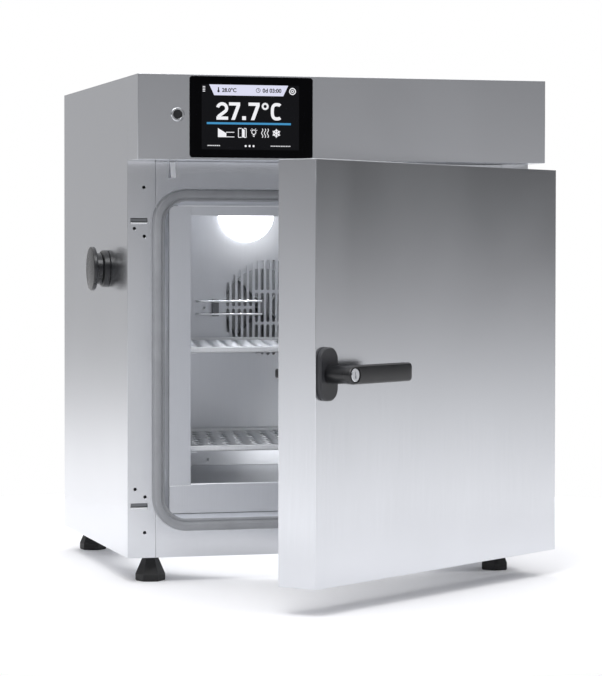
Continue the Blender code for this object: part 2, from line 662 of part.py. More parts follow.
plug_profile += [(PORT_BORE - GAP, plug_stop), (PORT_BORE - GAP, PLUG_END - 0.005)]
plug_profile += [(PORT_BORE - 0.002, PLUG_END)]
port_origin = (0.0, PORT_Y, PORT_Z)
make_object("port_plug", turned(plug_profile, "x", (0.0, 0.0)), GREY_PLUG, case, location=port_origin)

# Thermal insulation around the chamber, and the divider above it.
WOOL_FRONT = 0.0145
WOOL_TOP = 0.5475
WOOL_BOTTOM = 0.0155
wool_low = (INSIDE_LEFT + GAP, WOOL_FRONT, WOOL_BOTTOM)
wool_high = (INSIDE_RIGHT - GAP, INSIDE_REAR - GAP, WOOL_TOP)
wool = make_object("insulation_jacket", boxes((wool_low, wool_high)), WOOL, case)
around = SHEET + 2 * GAP
cavity_low = (CHAMBER_LEFT - around, 0.0, CHAMBER_FLOOR - around)
cavity_high = (CHAMBER_RIGHT + around, CHAMBER_REAR + 2 * around, CHAMBER_CEILING + around)
combine(wool, boxes((cavity_low, cavity_high)))
motor_way = circle(*FAN_CENTRE, MOTOR_RADIUS + 0.002)
combine(wool, prism(motor_way, "y", CHAMBER_REAR - THROUGH, CASE_DEPTH + THROUGH))
combine(wool, prism(circle(PORT_Y, PORT_Z, PORT_HOLE_RADIUS), "x", -THROUGH, CHAMBER_LEFT + THROUGH))

DIVIDER_Z = WOOL_TOP + SHEET
divider_low = (INSIDE_LEFT + GAP, SHEET + GAP, DIVIDER_Z)
divider_high = (INSIDE_RIGHT - GAP, INSIDE_REAR - GAP, DIVIDER_Z + SHEET)
make_object("bay_divider", boxes((divider_low, divider_high)), STAINLESS, case)

# Header: a folded shell that overhangs the door, its underside, the display and the power button.
HEADER_TOP = CASE_HEIGHT
header_low = (0.0, -HEADER_DEPTH, HEADER_BOTTOM)
header_high = (CASE_WIDTH, -GAP, HEADER_TOP)
header = make_object("header_shell", boxes((header_low, header_high)), STAINLESS, case)
WINDOW_MARGIN = 0.008
BUTTON_X = 0.0555
BUTTON_Z = 0.6140
BUTTON_HOLE = 0.0085
hollow_low = (SHEET, SHEET - HEADER_DEPTH, HEADER_BOTTOM - THROUGH)
hollow_high = (CASE_WIDTH - SHEET, THROUGH, HEADER_TOP - SHEET)
combine(header, boxes((hollow_low, hollow_high)))
window_low = (GLASS_LEFT + WINDOW_MARGIN, -HEADER_DEPTH - THROUGH, GLASS_BOTTOM + WINDOW_MARGIN)
window_high = (GLASS_RIGHT - WINDOW_MARGIN, -HEADER_DEPTH + THROUGH, GLASS_TOP - WINDOW_MARGIN)
combine(header, boxes((window_low, window_high)))
button_hole = circle(BUTTON_X, BUTTON_Z, BUTTON_HOLE)
combine(header, prism(button_hole, "y", -HEADER_DEPTH - THROUGH, -HEADER_DEPTH + THROUGH))

under_low = (SHEET + GAP, SHEET + GAP - HEADER_DEPTH, HEADER_BOTTOM)
under_high = (CASE_WIDTH - SHEET - GAP, -GAP, HEADER_BOTTOM + SHEET)
underside = make_object("header_underside", boxes((under_low, under_high)), STAINLESS, case)

GLASS_STAND = 0.0010
GLASS_CORNER = 0.004
glass_outline = rounded_outline(GLASS_LEFT, GLASS_RIGHT, GLASS_BOTTOM, GLASS_TOP, GLASS_CORNER, 4)
glass_back = -HEADER_DEPTH - GAP
glass_sheet = prism(glass_outline, "y", glass_back - GLASS_STAND, glass_back)
make_object("display_glass", glass_sheet, BLACK_GLASS, case)
MODULE_DEPTH = 0.012
module_edge = WINDOW_MARGIN + 0.001
module_low = (GLASS_LEFT + module_edge, GAP - HEADER_DEPTH, GLASS_BOTTOM + module_edge)
module_high = (GLASS_RIGHT - module_edge, MODULE_DEPTH - HEADER_DEPTH, GLASS_TOP - module_edge)
make_object("display_module", boxes((module_low, module_high)), BLACK_NYLON, case)
BOARD_DEPTH = 0.020
BOARD_THICK = 0.0016
board_low = (GLASS_LEFT, BOARD_DEPTH - HEADER_DEPTH, 0.566)
board_high = (GLASS_RIGHT + 0.060, BOARD_DEPTH + BOARD_THICK - HEADER_DEPTH, 0.655)
make_object("control_board", boxes((board_low, board_high)), BOARD, case)

BEZEL_RADIUS = 0.0095
BUTTON_RADIUS = 0.0062
BEZEL_BACK = -0.052
bezel_front = -HEADER_DEPTH - 0.0014
bezel_profile = [(BUTTON_RADIUS + GAP, bezel_front), (BEZEL_RADIUS - 0.0008, bezel_front)]
bezel_profile += [(BEZEL_RADIUS, glass_back - 0.0004), (BEZEL_RADIUS, glass_back)]
bezel_profile += [(BUTTON_HOLE - GAP, glass_back), (BUTTON_HOLE - GAP, BEZEL_BACK)]
bezel_profile += [(BUTTON_RADIUS + GAP, BEZEL_BACK)]
make_object(
    "power_button_bezel", turned(bezel_profile, "y", (BUTTON_X, BUTTON_Z), closed=True), BRIGHT_STEEL, case
)
cap_profile = [(BUTTON_RADIUS - 0.0008, bezel_front + 0.0008), (BUTTON_RADIUS, bezel_front + 0.0014)]
cap_profile += [(BUTTON_RADIUS, BEZEL_BACK - 0.002), (BUTTON_RADIUS - 0.001, BEZEL_BACK - 0.002)]
button_origin = (BUTTON_X, 0.0, BUTTON_Z)
make_object("power_button", turned(cap_profile, "y", (0.0, 0.0)), BLACK_NYLON, case, location=button_origin)

# Door switch under the header: a sprung steel leaf, and the switch it presses.
LEAF_X = (0.0600, 0.0672)
LEAF_TOP = 0.5505
LEAF_LENGTH = 0.0215
LEAF_LEAN = 0.0072
LEAF_THICK = 0.0008
leaf_outline = [(0.0, 0.0), (-LEAF_LEAN, -LEAF_LENGTH), (-LEAF_LEAN + LEAF_THICK, -LEAF_LENGTH)]
leaf_outline += [(LEAF_THICK, 0.0)]
leaf_origin = (0.0, -0.0024, LEAF_TOP)
leaf = make_object(
    "door_switch_leaf", prism(leaf_outline, "x", *LEAF_X), BRIGHT_STEEL, case, location=leaf_origin
)
switch_low = (LEAF_X[0] - 0.004, -0.014, HEADER_BOTTOM + SHEET + GAP)
switch_high = (LEAF_X[1] + 0.004, -0.002, HEADER_BOTTOM + 0.018)
make_object("door_switch", boxes((switch_low, switch_high)), BLACK_NYLON, case)

# Mains inlet and rocker switch on the rear panel.
INLET_DEPTH = 0.020
inlet_rear = CASE_DEPTH + 0.002
inlet_low = (INLET_X[0] + GAP, CASE_DEPTH - INLET_DEPTH, INLET_Z[0] + GAP)
inlet_high = (INLET_X[1] - GAP, inlet_rear, INLET_Z[1] - GAP)
inlet = make_object("mains_inlet", boxes((inlet_low, inlet_high)), BLACK_NYLON, case)
INLET_EDGE = (0.0105, 0.004)
RECESS_BACK = CASE_DEPTH - 0.014
recess_low = (INLET_X[0] + INLET_EDGE[0], RECESS_BACK, INLET_Z[0] + INLET_EDGE[1])
recess_high = (INLET_X[1] - INLET_EDGE[0], inlet_rear + THROUGH, INLET_Z[1] - INLET_EDGE[1])
combine(inlet, boxes((recess_low, recess_high)))
PIN_SIZE = (0.001, 0.002)
inlet_middle = ((INLET_X[0] + INLET_X[1]) / 2, (INLET_Z[0] + INLET_Z[1]) / 2)
PIN_PLACES = ((-0.007, -0.002), (0.007, -0.002), (0.0, 0.002))
pins = boxes(
    *(
        (
            (inlet_middle[0] + a - PIN_SIZE[0], RECESS_BACK - 0.0005, inlet_middle[1] + b - PIN_SIZE[1]),
            (inlet_middle[0] + a + PIN_SIZE[0], CASE_DEPTH - 0.001, inlet_middle[1] + b + PIN_SIZE[1]),
        )
        for a, b in PIN_PLACES
    )
)
combine(inlet, pins, "UNION")

SWITCH_DEPTH = 0.018
switch_frame_low = (SWITCH_X[0] + GAP, CASE_DEPTH - SWITCH_DEPTH, INLET_Z[0] + GAP)
switch_frame_high = (SWITCH_X[1] - GAP, inlet_rear, INLET_Z[1] - GAP)
switch_frame = make_object(
    "mains_switch_frame", boxes((switch_frame_low, switch_frame_high)), BLACK_NYLON, case
)
WELL_EDGE = 0.0025
WELL_DEPTH = 0.013
well_low = (SWITCH_X[0] + WELL_EDGE, CASE_DEPTH - WELL_DEPTH, INLET_Z[0] + WELL_EDGE)
well_high = (SWITCH_X[1] - WELL_EDGE, inlet_rear + THROUGH, INLET_Z[1] - WELL_EDGE)
combine(switch_frame, boxes((well_low, well_high)))
ROCKER_HALF = (INLET_Z[1] - INLET_Z[0]) / 2 - WELL_EDGE - 0.001
ROCKER_TILT_DEG = 9.0
rocker_outline = [(-0.006, 0.0), (0.0005, -ROCKER_HALF), (0.0055, -ROCKER_HALF + 0.0006), (0.0035, 0.0)]
rocker_outline += [(0.0055, ROCKER_HALF - 0.0006), (0.0005, ROCKER_HALF)]
tilt = Matrix.Rotation(math.radians(ROCKER_TILT_DEG), 2)
rocker_outline = [tuple(tilt @ Vector(point)) for point in rocker_outline]
rocker_half_width = (SWITCH_X[1] - SWITCH_X[0]) / 2 - WELL_EDGE - 2 * GAP
rocker_origin = ((SWITCH_X[0] + SWITCH_X[1]) / 2, CASE_DEPTH - 0.003, inlet_middle[1])
make_object(
    "mains_rocker",
    prism(rocker_outline, "x", -rocker_half_width, rocker_half_width),
    BLACK_NYLON,
    case,
    location=rocker_origin,
)

# Hinges: brackets behind the right flange with an arm through the slot, and pins inside the door.
ARM_HALF = 0.006
EYE_RADIUS = 0.0072
PLATE_LEFT = 0.553
PLATE_Y = (SHEET + GAP, SHEET + GAP + HINGE_ARM)
BLOCK_LOW = (-0.012, -0.012)
BLOCK_HIGH = (0.012, 0.0085)
PIVOT_BLOCK = 0.010
NOTCH_HALF = 0.009


def hinge_bracket(name, height, plate_span):
    """A plate behind the flange, and a flat arm that ends in an eye around the pin."""
    low = (PLATE_LEFT, PLATE_Y[0], plate_span[0])
    high = (CASE_WIDTH - SHEET - 2 * GAP, PLATE_Y[1], plate_span[1])
    obj = make_object(name, boxes((low, high)), BRIGHT_STEEL, case)
    arm_low = height - HINGE_ARM / 2
    arm_high = height + HINGE_ARM / 2
    arm = boxes(((HINGE_X - ARM_HALF, HINGE_Y, arm_low), (HINGE_X + ARM_HALF, PLATE_Y[1] - GAP, arm_high)))
    combine(obj, arm, "UNION")
    eye = circle(HINGE_X, HINGE_Y, EYE_RADIUS, PIN_SEGMENTS)
    combine(obj, prism(eye, "z", arm_low, arm_high), "UNION")
    bore = circle(HINGE_X, HINGE_Y, HINGE_PIN_RADIUS + GAP, PIN_SEGMENTS)
    combine(obj, prism(bore, "z", arm_low - THROUGH, arm_high + THROUGH))


def hinge_pin(name, height):
    """A pin between two blocks, above and below the arm. Drawn about the hinge axis."""
    half_notch = NOTCH_HALF + GAP
    reach = half_notch + PIVOT_BLOCK
    inside = reach - 0.002
    pin = circle(0.0, 0.0, HINGE_PIN_RADIUS, PIN_SEGMENTS)
    obj = make_object(name, prism(pin, "z", height - inside, height + inside), BRIGHT_STEEL, door)
    blocks = boxes(
        ((*BLOCK_LOW, height + half_notch), (*BLOCK_HIGH, height + reach)),
        ((*BLOCK_LOW, height - reach), (*BLOCK_HIGH, height - half_notch)),
    )
    combine(obj, blocks, "UNION")


top_height, bottom_height = HINGE_ARM_HEIGHTS
TOP_PLATE_SPAN = (0.440, 0.524)
BOTTOM_PLATE_SPAN = (0.027, 0.104)
hinge_bracket("hinge_bracket_top", top_height, TOP_PLATE_SPAN)
hinge_bracket("hinge_bracket_bottom", bottom_height, BOTTOM_PLATE_SPAN)
hinge_pin("hinge_pin_top", top_height)
hinge_pin("hinge_pin_bottom", bottom_height)


# Door: outer pan, insulated core and back panel, drawn closed about the hinge axis.
def in_door(x, y, z=0.0):
    """Case coordinates of the closed door, moved to the hinge axis."""
    return (x - HINGE_X, y - HINGE_Y, z)


def notches(depth_y, width_x, half_height):
    """Cutters that clear the hinge arms at the door's back right edge."""
    pairs = []
    for height in HINGE_ARM_HEIGHTS:
        low = in_door(DOOR_RIGHT - width_x, DOOR_BACK - depth_y, height - half_height)
        high = in_door(DOOR_RIGHT + THROUGH, DOOR_BACK + THROUGH, height + half_height)
        pairs.append((low, high))
    return boxes(*pairs)


NOTCH_DEPTH = 0.0275
NOTCH_WIDTH = 0.0265
skin_box = boxes((in_door(DOOR_LEFT, DOOR_FRONT, DOOR_BOTTOM), in_door(DOOR_RIGHT, DOOR_BACK, DOOR_TOP)))
skin = make_object("door_skin", skin_box, STAINLESS, door)
hollow_low = in_door(DOOR_LEFT + SHEET, DOOR_FRONT + SHEET, DOOR_BOTTOM + SHEET)
hollow_high = in_door(DOOR_RIGHT - SHEET, DOOR_BACK + THROUGH, DOOR_TOP - SHEET)
combine(skin, boxes((hollow_low, hollow_high)))
combine(skin, notches(NOTCH_DEPTH, NOTCH_WIDTH, NOTCH_HALF))

inner = SHEET + GAP
liner_low = in_door(DOOR_LEFT + inner, DOOR_BACK - SHEET, DOOR_BOTTOM + inner)
liner_high = in_door(DOOR_RIGHT - inner, DOOR_BACK, DOOR_TOP - inner)
liner = make_object("door_back_panel", boxes((liner_low, liner_high)), STAINLESS, door)
combine(liner, notches(NOTCH_DEPTH, NOTCH_WIDTH, NOTCH_HALF))

core_low = in_door(DOOR_LEFT + inner, DOOR_FRONT + inner, DOOR_BOTTOM + inner)
core_high = in_door(DOOR_RIGHT - inner, DOOR_BACK - inner, DOOR_TOP - inner)
core = make_object("door_core", boxes((core_low, core_high)), WOOL, door)
combine(core, notches(NOTCH_DEPTH + 0.002, NOTCH_WIDTH + 0.006, NOTCH_HALF + PIVOT_BLOCK + 2 * GAP))

SPINDLE_HALF = 0.004
SPINDLE_PASSAGE_HALF = 0.008


def spindle_passage():
    """A cutter for the square way that the handle's spindle takes through the door."""
    half = SPINDLE_PASSAGE_HALF
    low = in_door(HANDLE_X - half, DOOR_FRONT - THROUGH, HANDLE_Z - half)
    high = in_door(HANDLE_X + half, DOOR_BACK + THROUGH, HANDLE_Z + half)
    return boxes((low, high))


for pierced in (skin, liner, core):
    combine(pierced, spindle_passage())

# Handle: plate, lever with neck, spindle, release cam and key cylinder, about the lever's axis.
PLATE_HALF_WIDTH = 0.0192
PLATE_HALF_HEIGHT = 0.034
PLATE_CORNER = 0.016
PLATE_THICK = 0.006
PLATE_EDGE = 0.0015
PLATE_HOLE_RADIUS = 0.0075
NECK_RADIUS = 0.0117
LEVER_THICK = 0.0127
LEVER_LENGTH = 0.128
LEVER_HALF = 0.012
LEVER_CORNER = 0.0055
CYLINDER_RADIUS = 0.0087
CYLINDER_BACK = -0.0265
RECESS_RADIUS = 0.0103
RECESS_DEPTH = 0.002
handle_origin = in_door(HANDLE_X, DOOR_FRONT, HANDLE_Z)
plate_loops = []
for grow, y in ((0.0, -GAP), (0.0, -GAP - PLATE_THICK + PLATE_EDGE), (-PLATE_EDGE, -GAP - PLATE_THICK)):
    outline = rounded_outline(
        -PLATE_HALF_WIDTH - grow,
        PLATE_HALF_WIDTH + grow,
        -PLATE_HALF_HEIGHT - grow,
        PLATE_HALF_HEIGHT + grow,
        PLATE_CORNER + grow,
    )
    plate_loops.append([(a, y, b) for a, b in outline])
plate = make_object(
    "handle_plate", rings(plate_loops, closed=False), BLACK_NYLON, door, location=handle_origin
)
combine(plate, prism(circle(0.0, 0.0, PLATE_HOLE_RADIUS, PIN_SEGMENTS), "y", -2 * THROUGH, THROUGH))

neck_start = -GAP - PLATE_THICK - GAP
lever_front = -HANDLE_REACH
lever_back = lever_front + LEVER_THICK
neck = prism(circle(0.0, 0.0, NECK_RADIUS), "y", lever_back - 0.001, neck_start)
lever = make_object("handle_lever", neck, BLACK_NYLON, door, location=handle_origin)
bar_outline = rounded_outline(-LEVER_HALF, LEVER_LENGTH, -LEVER_HALF, LEVER_HALF, LEVER_CORNER, 5)
combine(lever, prism(bar_outline, "y", lever_front, lever_back), "UNION")
recess = circle(0.0, 0.0, RECESS_RADIUS)
combine(lever, prism(recess, "y", lever_front - THROUGH, lever_front + RECESS_DEPTH))
cylinder_bore = circle(0.0, 0.0, CYLINDER_RADIUS + GAP, PIN_SEGMENTS)
combine(lever, prism(cylinder_bore, "y", lever_front, CYLINDER_BACK + 0.0005))

cylinder_profile = [(CYLINDER_RADIUS - 0.0006, lever_front + 0.0004), (CYLINDER_RADIUS, lever_front + 0.001)]
cylinder_profile += [(CYLINDER_RADIUS, CYLINDER_BACK)]
cylinder_shape = turned(cylinder_profile, "y", (0.0, 0.0), PIN_SEGMENTS)
cylinder = make_object("lock_cylinder", cylinder_shape, BRIGHT_STEEL, door, location=handle_origin)
KEYWAY_HALF = (0.0008, 0.0045)
KEYWAY_DEPTH = 0.0035
keyway_low = (-KEYWAY_HALF[0], lever_front - THROUGH, -KEYWAY_HALF[1])
keyway_high = (KEYWAY_HALF[0], lever_front + KEYWAY_DEPTH, KEYWAY_HALF[1])
combine(cylinder, boxes((keyway_low, keyway_high)))

cam_back = DOOR_BACK - DOOR_FRONT + 0.007
spindle = boxes(((-SPINDLE_HALF, neck_start + GAP, -SPINDLE_HALF), (SPINDLE_HALF, cam_back, SPINDLE_HALF)))
make_object("handle_spindle", spindle, BRIGHT_STEEL, door, location=handle_origin)
cam_front = DOOR_BACK - DOOR_FRONT + 0.001
CAM_RADIUS = 0.0095
NOSE_LENGTH = 0.019
NOSE_HALF = 0.006
cam_outline = circle(0.0, 0.0, CAM_RADIUS, PIN_SEGMENTS)
cam = make_object(
    "release_cam", prism(cam_outline, "y", cam_front, cam_back), BLACK_NYLON, door, location=handle_origin
)
nose = rounded_outline(-NOSE_LENGTH, 0.0, -NOSE_HALF, NOSE_HALF, NOSE_HALF / 2, 3)
combine(cam, prism(nose, "y", cam_front, cam_back), "UNION")
square = SPINDLE_HALF + GAP
combine(cam, boxes(((-square, cam_front - THROUGH, -square), (square, cam_back + THROUGH, square))))

# Feet: six-sided tapered screw feet with a threaded stud.
foot_names = ("foot_front_left", "foot_front_right", "foot_rear_left", "foot_rear_right")
FOOT_NECK_RADIUS = 0.0105
FOOT_STEPS = (
    (FOOT_BASE_RADIUS - 0.0015, 0.0),
    (FOOT_BASE_RADIUS, 0.0015),
    (FOOT_BASE_RADIUS, 0.0095),
    (FOOT_NECK_RADIUS, FOOT_HEIGHT - 0.001),
)
for foot_name, (foot_x, foot_y), turn_deg in zip(foot_names, foot_places, FOOT_TURNS_DEG):
    turn = math.radians(turn_deg - 90)
    loops = [[(*p, t) for p in circle(0.0, 0.0, r, 6, turn)] for r, t in FOOT_STEPS]
    foot = make_object(
        foot_name, rings(loops, closed=False), BLACK_RUBBER, case, location=(foot_x, foot_y, -FOOT_HEIGHT)
    )
    stud = circle(0.0, 0.0, STUD_RADIUS, STUD_SEGMENTS)
    combine(foot, prism(stud, "z", FOOT_HEIGHT - 0.005, FOOT_HEIGHT + STUD_RISE), "UNION")
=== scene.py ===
"""Looks of a bench-top laboratory incubator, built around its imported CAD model.

The case is satin stainless sheet, folded and brushed; the chamber is brighter, smoother sheet.
The door carries a black lever, the header a black glass display, and the feet are hard rubber.
"""
import json
import math

import bmesh
import bpy
import numpy as np
from mathutils import Matrix, Vector

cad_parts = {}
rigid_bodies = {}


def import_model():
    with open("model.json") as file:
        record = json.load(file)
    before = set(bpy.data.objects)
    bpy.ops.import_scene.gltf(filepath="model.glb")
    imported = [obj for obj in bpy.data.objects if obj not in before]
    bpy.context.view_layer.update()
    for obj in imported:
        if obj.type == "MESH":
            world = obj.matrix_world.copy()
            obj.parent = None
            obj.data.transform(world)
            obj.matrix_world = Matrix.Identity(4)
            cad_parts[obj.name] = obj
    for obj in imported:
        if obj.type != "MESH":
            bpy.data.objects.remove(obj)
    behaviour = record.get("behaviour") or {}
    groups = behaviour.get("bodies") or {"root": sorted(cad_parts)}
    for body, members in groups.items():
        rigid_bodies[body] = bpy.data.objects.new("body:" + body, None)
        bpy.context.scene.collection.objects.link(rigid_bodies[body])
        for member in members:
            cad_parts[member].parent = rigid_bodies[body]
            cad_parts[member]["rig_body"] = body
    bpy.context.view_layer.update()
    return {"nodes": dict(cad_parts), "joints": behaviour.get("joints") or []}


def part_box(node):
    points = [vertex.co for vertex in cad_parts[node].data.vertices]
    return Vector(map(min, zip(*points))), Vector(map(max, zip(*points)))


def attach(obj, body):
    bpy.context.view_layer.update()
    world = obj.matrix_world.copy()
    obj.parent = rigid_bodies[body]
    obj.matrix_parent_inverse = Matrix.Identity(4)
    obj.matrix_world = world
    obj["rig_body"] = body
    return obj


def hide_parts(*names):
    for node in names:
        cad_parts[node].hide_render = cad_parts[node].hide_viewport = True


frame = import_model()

bl_info = {
    "name": "Laboratory Incubator Looks",
    "version": (1, 0, 0),
    "blender": (4, 5, 0),
    "location": "View3D > Sidebar > Incubator",
    "description": "Builds the finished surfaces, seals, shelves and display of a bench-top incubator",
    "category": "Object",
}

NODES = frame["nodes"]
MM = 0.001

# Places that the frame gives. The case datum is its lower front left corner.
DATUM = np.array(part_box("side_panel_left")[0])
DOOR_JOINT = next(joint for joint in frame["joints"] if joint["name"] == "door_hinge")
HINGE = np.array(DOOR_JOINT["pos_m"]) * (1, 1, 0)
OPENING = -math.radians(DOOR_JOINT["range_deg"][0])


# --- Placing -------------------------------------------------------------------------------

def turn_about_z(points, angle):
    """Points turned about the vertical axis through the origin by an angle in radians."""
    cosine, sine = math.cos(angle), math.sin(angle)
    turn = np.array([[cosine, -sine, 0.0], [sine, cosine, 0.0], [0.0, 0.0, 1.0]])
    return np.asarray(points, float) @ turn.T


def to_rest(points):
    """Points drawn on the shut door, swung about the hinge to where the door stands at rest."""
    return turn_about_z(np.asarray(points, float) - HINGE, OPENING) + HINGE


def as_drawn(points):
    """Points of the case, which need no swing."""
    return np.asarray(points, float)


def node_box(node):
    """Lowest and highest corner of a CAD node as arrays."""
    low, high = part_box(node)
    return np.array(low), np.array(high)


def shut_box(node):
    """Lowest and highest corner of a door node with the door swung shut."""
    shut = turn_about_z(mesh_points(NODES[node].data) - HINGE, -OPENING) + HINGE
    return shut.min(0), shut.max(0)


# --- Meshes and objects --------------------------------------------------------------------

def mesh_points(mesh):
    """The mesh's vertices as an array with a row for each."""
    flat = np.zeros(len(mesh.vertices) * 3)
    mesh.vertices.foreach_get("co", flat)
    return flat.reshape(-1, 3)


def new_mesh(name, points, faces):
    """A mesh of an array of points and lists of their indices."""
    mesh = bpy.data.meshes.new(name)
    mesh.from_pydata(points.tolist(), [], [list(face) for face in faces])
    return mesh


def new_object(name, data):
    """An object in the scene that holds the data."""
    made = bpy.data.objects.new(name, data)
    bpy.context.scene.collection.objects.link(made)
    return made


def evaluated_shape(holder):
    """Points and faces of an object with its modifiers, or its type's outlines, applied."""
    mesh = bpy.data.meshes.new_from_object(holder.evaluated_get(bpy.context.evaluated_depsgraph_get()))
    points, faces = mesh_points(mesh), [list(face.vertices) for face in mesh.polygons]
    bpy.data.meshes.remove(mesh)
    return points, faces


# --- Shapes --------------------------------------------------------------------------------

def quarter_turn(steps):
    """Angles from 0 to a quarter turn in a number of equal steps."""
    return np.linspace(0.0, math.pi / 2, steps + 1)


def round_rectangle(left, right, bottom, top, radius, steps=6):
    """Rectangle with quarter-circle corners: each centre plus the radius times (cos, sin) of a turn."""
    quarters = np.arange(4)[:, None] * math.pi / 2 + quarter_turn(steps)
    centre_a = np.array([right - radius, left + radius, left + radius, right - radius])[:, None]
    centre_b = np.array([top - radius, top - radius, bottom + radius, bottom + radius])[:, None]
    a = centre_a + radius * np.cos(quarters)
    b = centre_b + radius * np.sin(quarters)
    return np.stack([a.ravel(), b.ravel()], -1)


def ring(count, radius_a, radius_b=None):
    """Ellipse: (radius a times cosine, radius b times sine) of equal steps round a full turn."""
    turns = np.linspace(0.0, 2 * math.pi, count, endpoint=False)
    return np.stack([radius_a * np.cos(turns), (radius_b or radius_a) * np.sin(turns)], -1)


def on_plane(outline, axis, level):
    """Lifts a flat outline to three coordinates, with the level as its value on the given axis."""
    return np.insert(np.asarray(outline, float), axis, level, axis=1)


def grid_faces(rows, columns, wrap_rows=False, wrap_columns=False):
    """Quads of a grid of points, rows by columns, that may close on itself either way."""
    row, column = np.meshgrid(
        np.arange(rows if wrap_rows else rows - 1),
        np.arange(columns if wrap_columns else columns - 1),
        indexing="ij",
    )
    below, beside = (row + 1) % rows, (column + 1) % columns
    here, next_row = row * columns, below * columns
    return np.stack([here + column, here + beside, next_row + beside, next_row + column], -1).reshape(-1, 4)


def loft(loops, wrap=False):
    """Skin over equal closed loops. It closes on itself, or its first and last loop are capped."""
    loops = np.asarray(loops, float)
    count, around = loops.shape[:2]
    faces = grid_faces(count, around, wrap_rows=wrap, wrap_columns=True).tolist()
    if not wrap:
        faces.append(list(range(around)))
        faces.append(list(range((count - 1) * around, count * around)))
    return loops.reshape(-1, 3), faces


def turned(profile, axis, centre, around=48):
    """A lathe shape: each (radius, level) of the profile swept round an axis through the centre."""
    loops = [on_plane(ring(around, radius), axis, level) for radius, level in profile]
    shift = np.insert(np.asarray(centre, float), axis, 0.0)
    points, faces = loft(loops)
    return points + shift, faces


def eased_profile(radius, start, end, edge, steps=3):
    """(radius, level) pairs of a plain cylinder whose two rims are quarter rounds of the edge's size."""
    direction = 1.0 if end > start else -1.0
    turns = quarter_turn(steps)
    rim = [(radius - edge + edge * math.sin(t), start + direction * edge * (1 - math.cos(t))) for t in turns]
    back = [(radius - edge + edge * math.cos(t), end - direction * edge * (1 - math.sin(t))) for t in turns]
    return rim + back


def block(low, high, edge, steps=2):
    """A box whose long edges are rounded: rounded rectangles in x and z, stepped in y by a quarter round."""
    low, high = np.asarray(low, float), np.asarray(high, float)
    turns = quarter_turn(steps)
    levels = [(edge * (1 - math.sin(t)), low[1] + edge * (1 - math.cos(t))) for t in turns]
    levels += [(edge * (1 - math.cos(t)), high[1] - edge * (1 - math.sin(t))) for t in turns]
    loops = []
    for inset, level in levels:
        radius = max(edge - inset, edge * 0.05) + edge * 0.5
        outline = round_rectangle(low[0] + inset, high[0] - inset, low[2] + inset, high[2] - inset, radius, 4)
        loops.append(on_plane(outline, 1, level))
    return loft(loops)


def swept_bar(path, radius, around=12):
    """A round bar: at each point of the path a circle square to its direction, a central difference."""
    path = np.asarray(path, float)
    along = np.gradient(path, axis=0)
    along /= np.linalg.norm(along, axis=1, keepdims=True)
    side = np.cross(along, (0.0, 0.0, 1.0))
    side /= np.linalg.norm(side, axis=1, keepdims=True)
    over = np.cross(side, along)
    circle = ring(around, radius)
    loops = path[:, None] + side[:, None] * circle[None, :, :1] + over[:, None] * circle[None, :, 1:]
    return loft(loops)


def level_bar(start, end, y, z, radius, steps):
    """A round bar along x from start to end."""
    one = np.ones(steps)
    return swept_bar(np.stack([np.linspace(start, end, steps), one * y, one * z], -1), radius)


def joined(*parts):
    """Several (points, faces) shapes as one."""
    points, faces, start = [], [], 0
    for some_points, some_faces in parts:
        points.append(np.asarray(some_points, float))
        faces += [[index + start for index in face] for face in some_faces]
        start += len(some_points)
    return np.concatenate(points), faces


def carved(first, second, operation="DIFFERENCE"):
    """One closed shape cut by another or united with it, solved exactly."""
    solids = []
    for shape in (first, second):
        mesh = new_mesh("carving", *shape)
        mesh_data = opened(mesh)
        bmesh.ops.recalc_face_normals(mesh_data, faces=mesh_data.faces)
        mesh_data.to_mesh(mesh)
        mesh_data.free()
        solids.append(new_object("carving", mesh))
    cut = solids[0].modifiers.new("Cut", "BOOLEAN")
    cut.operation = operation
    cut.object = solids[1]
    result = evaluated_shape(solids[0])
    for solid in solids:
        bpy.data.meshes.remove(solid.data)
    return result


DOUBLES = 0.002 * MM
FLAT_ANGLE = math.radians(0.5)
SHARP_ANGLE = math.radians(40)
SMOOTH_DEGREES = 35


def opened(mesh):
    """A mesh as editable data."""
    mesh_data = bmesh.new()
    mesh_data.from_mesh(mesh)
    return mesh_data


def finish_mesh(name, mesh_data, smooth_angle):
    """Merges doubles, points faces outwards and shades smooth up to an angle."""
    bmesh.ops.remove_doubles(mesh_data, verts=mesh_data.verts, dist=DOUBLES)
    bmesh.ops.recalc_face_normals(mesh_data, faces=mesh_data.faces)
    mesh = bpy.data.meshes.new(name)
    mesh_data.to_mesh(mesh)
    mesh_data.free()
    mesh.shade_smooth()
    mesh.set_sharp_from_angle(angle=math.radians(smooth_angle))
    return mesh


def add_piece(name, shape, finish, body, replaces=(), place=as_drawn, smooth_angle=SMOOTH_DEGREES):
    """Puts a shape into the scene as a named piece that rides on a body and has a finish of the palette."""
    points, faces = shape
    mesh = new_mesh(name, place(points), faces)
    mesh_data = opened(mesh)
    bpy.data.meshes.remove(mesh)
    piece = new_object(name, finish_mesh(name, mesh_data, smooth_angle))
    return enrol(piece, finish, body, replaces)


def enrol(piece, finish, body, replaces=()):
    """Gives a piece its finish, says what body it rides on, and hides the CAD nodes it stands for."""
    piece.data.materials.clear()
    piece.data.materials.append(palette()[finish])
    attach(piece, body)
    if replaces:
        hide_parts(*replaces)
    return piece


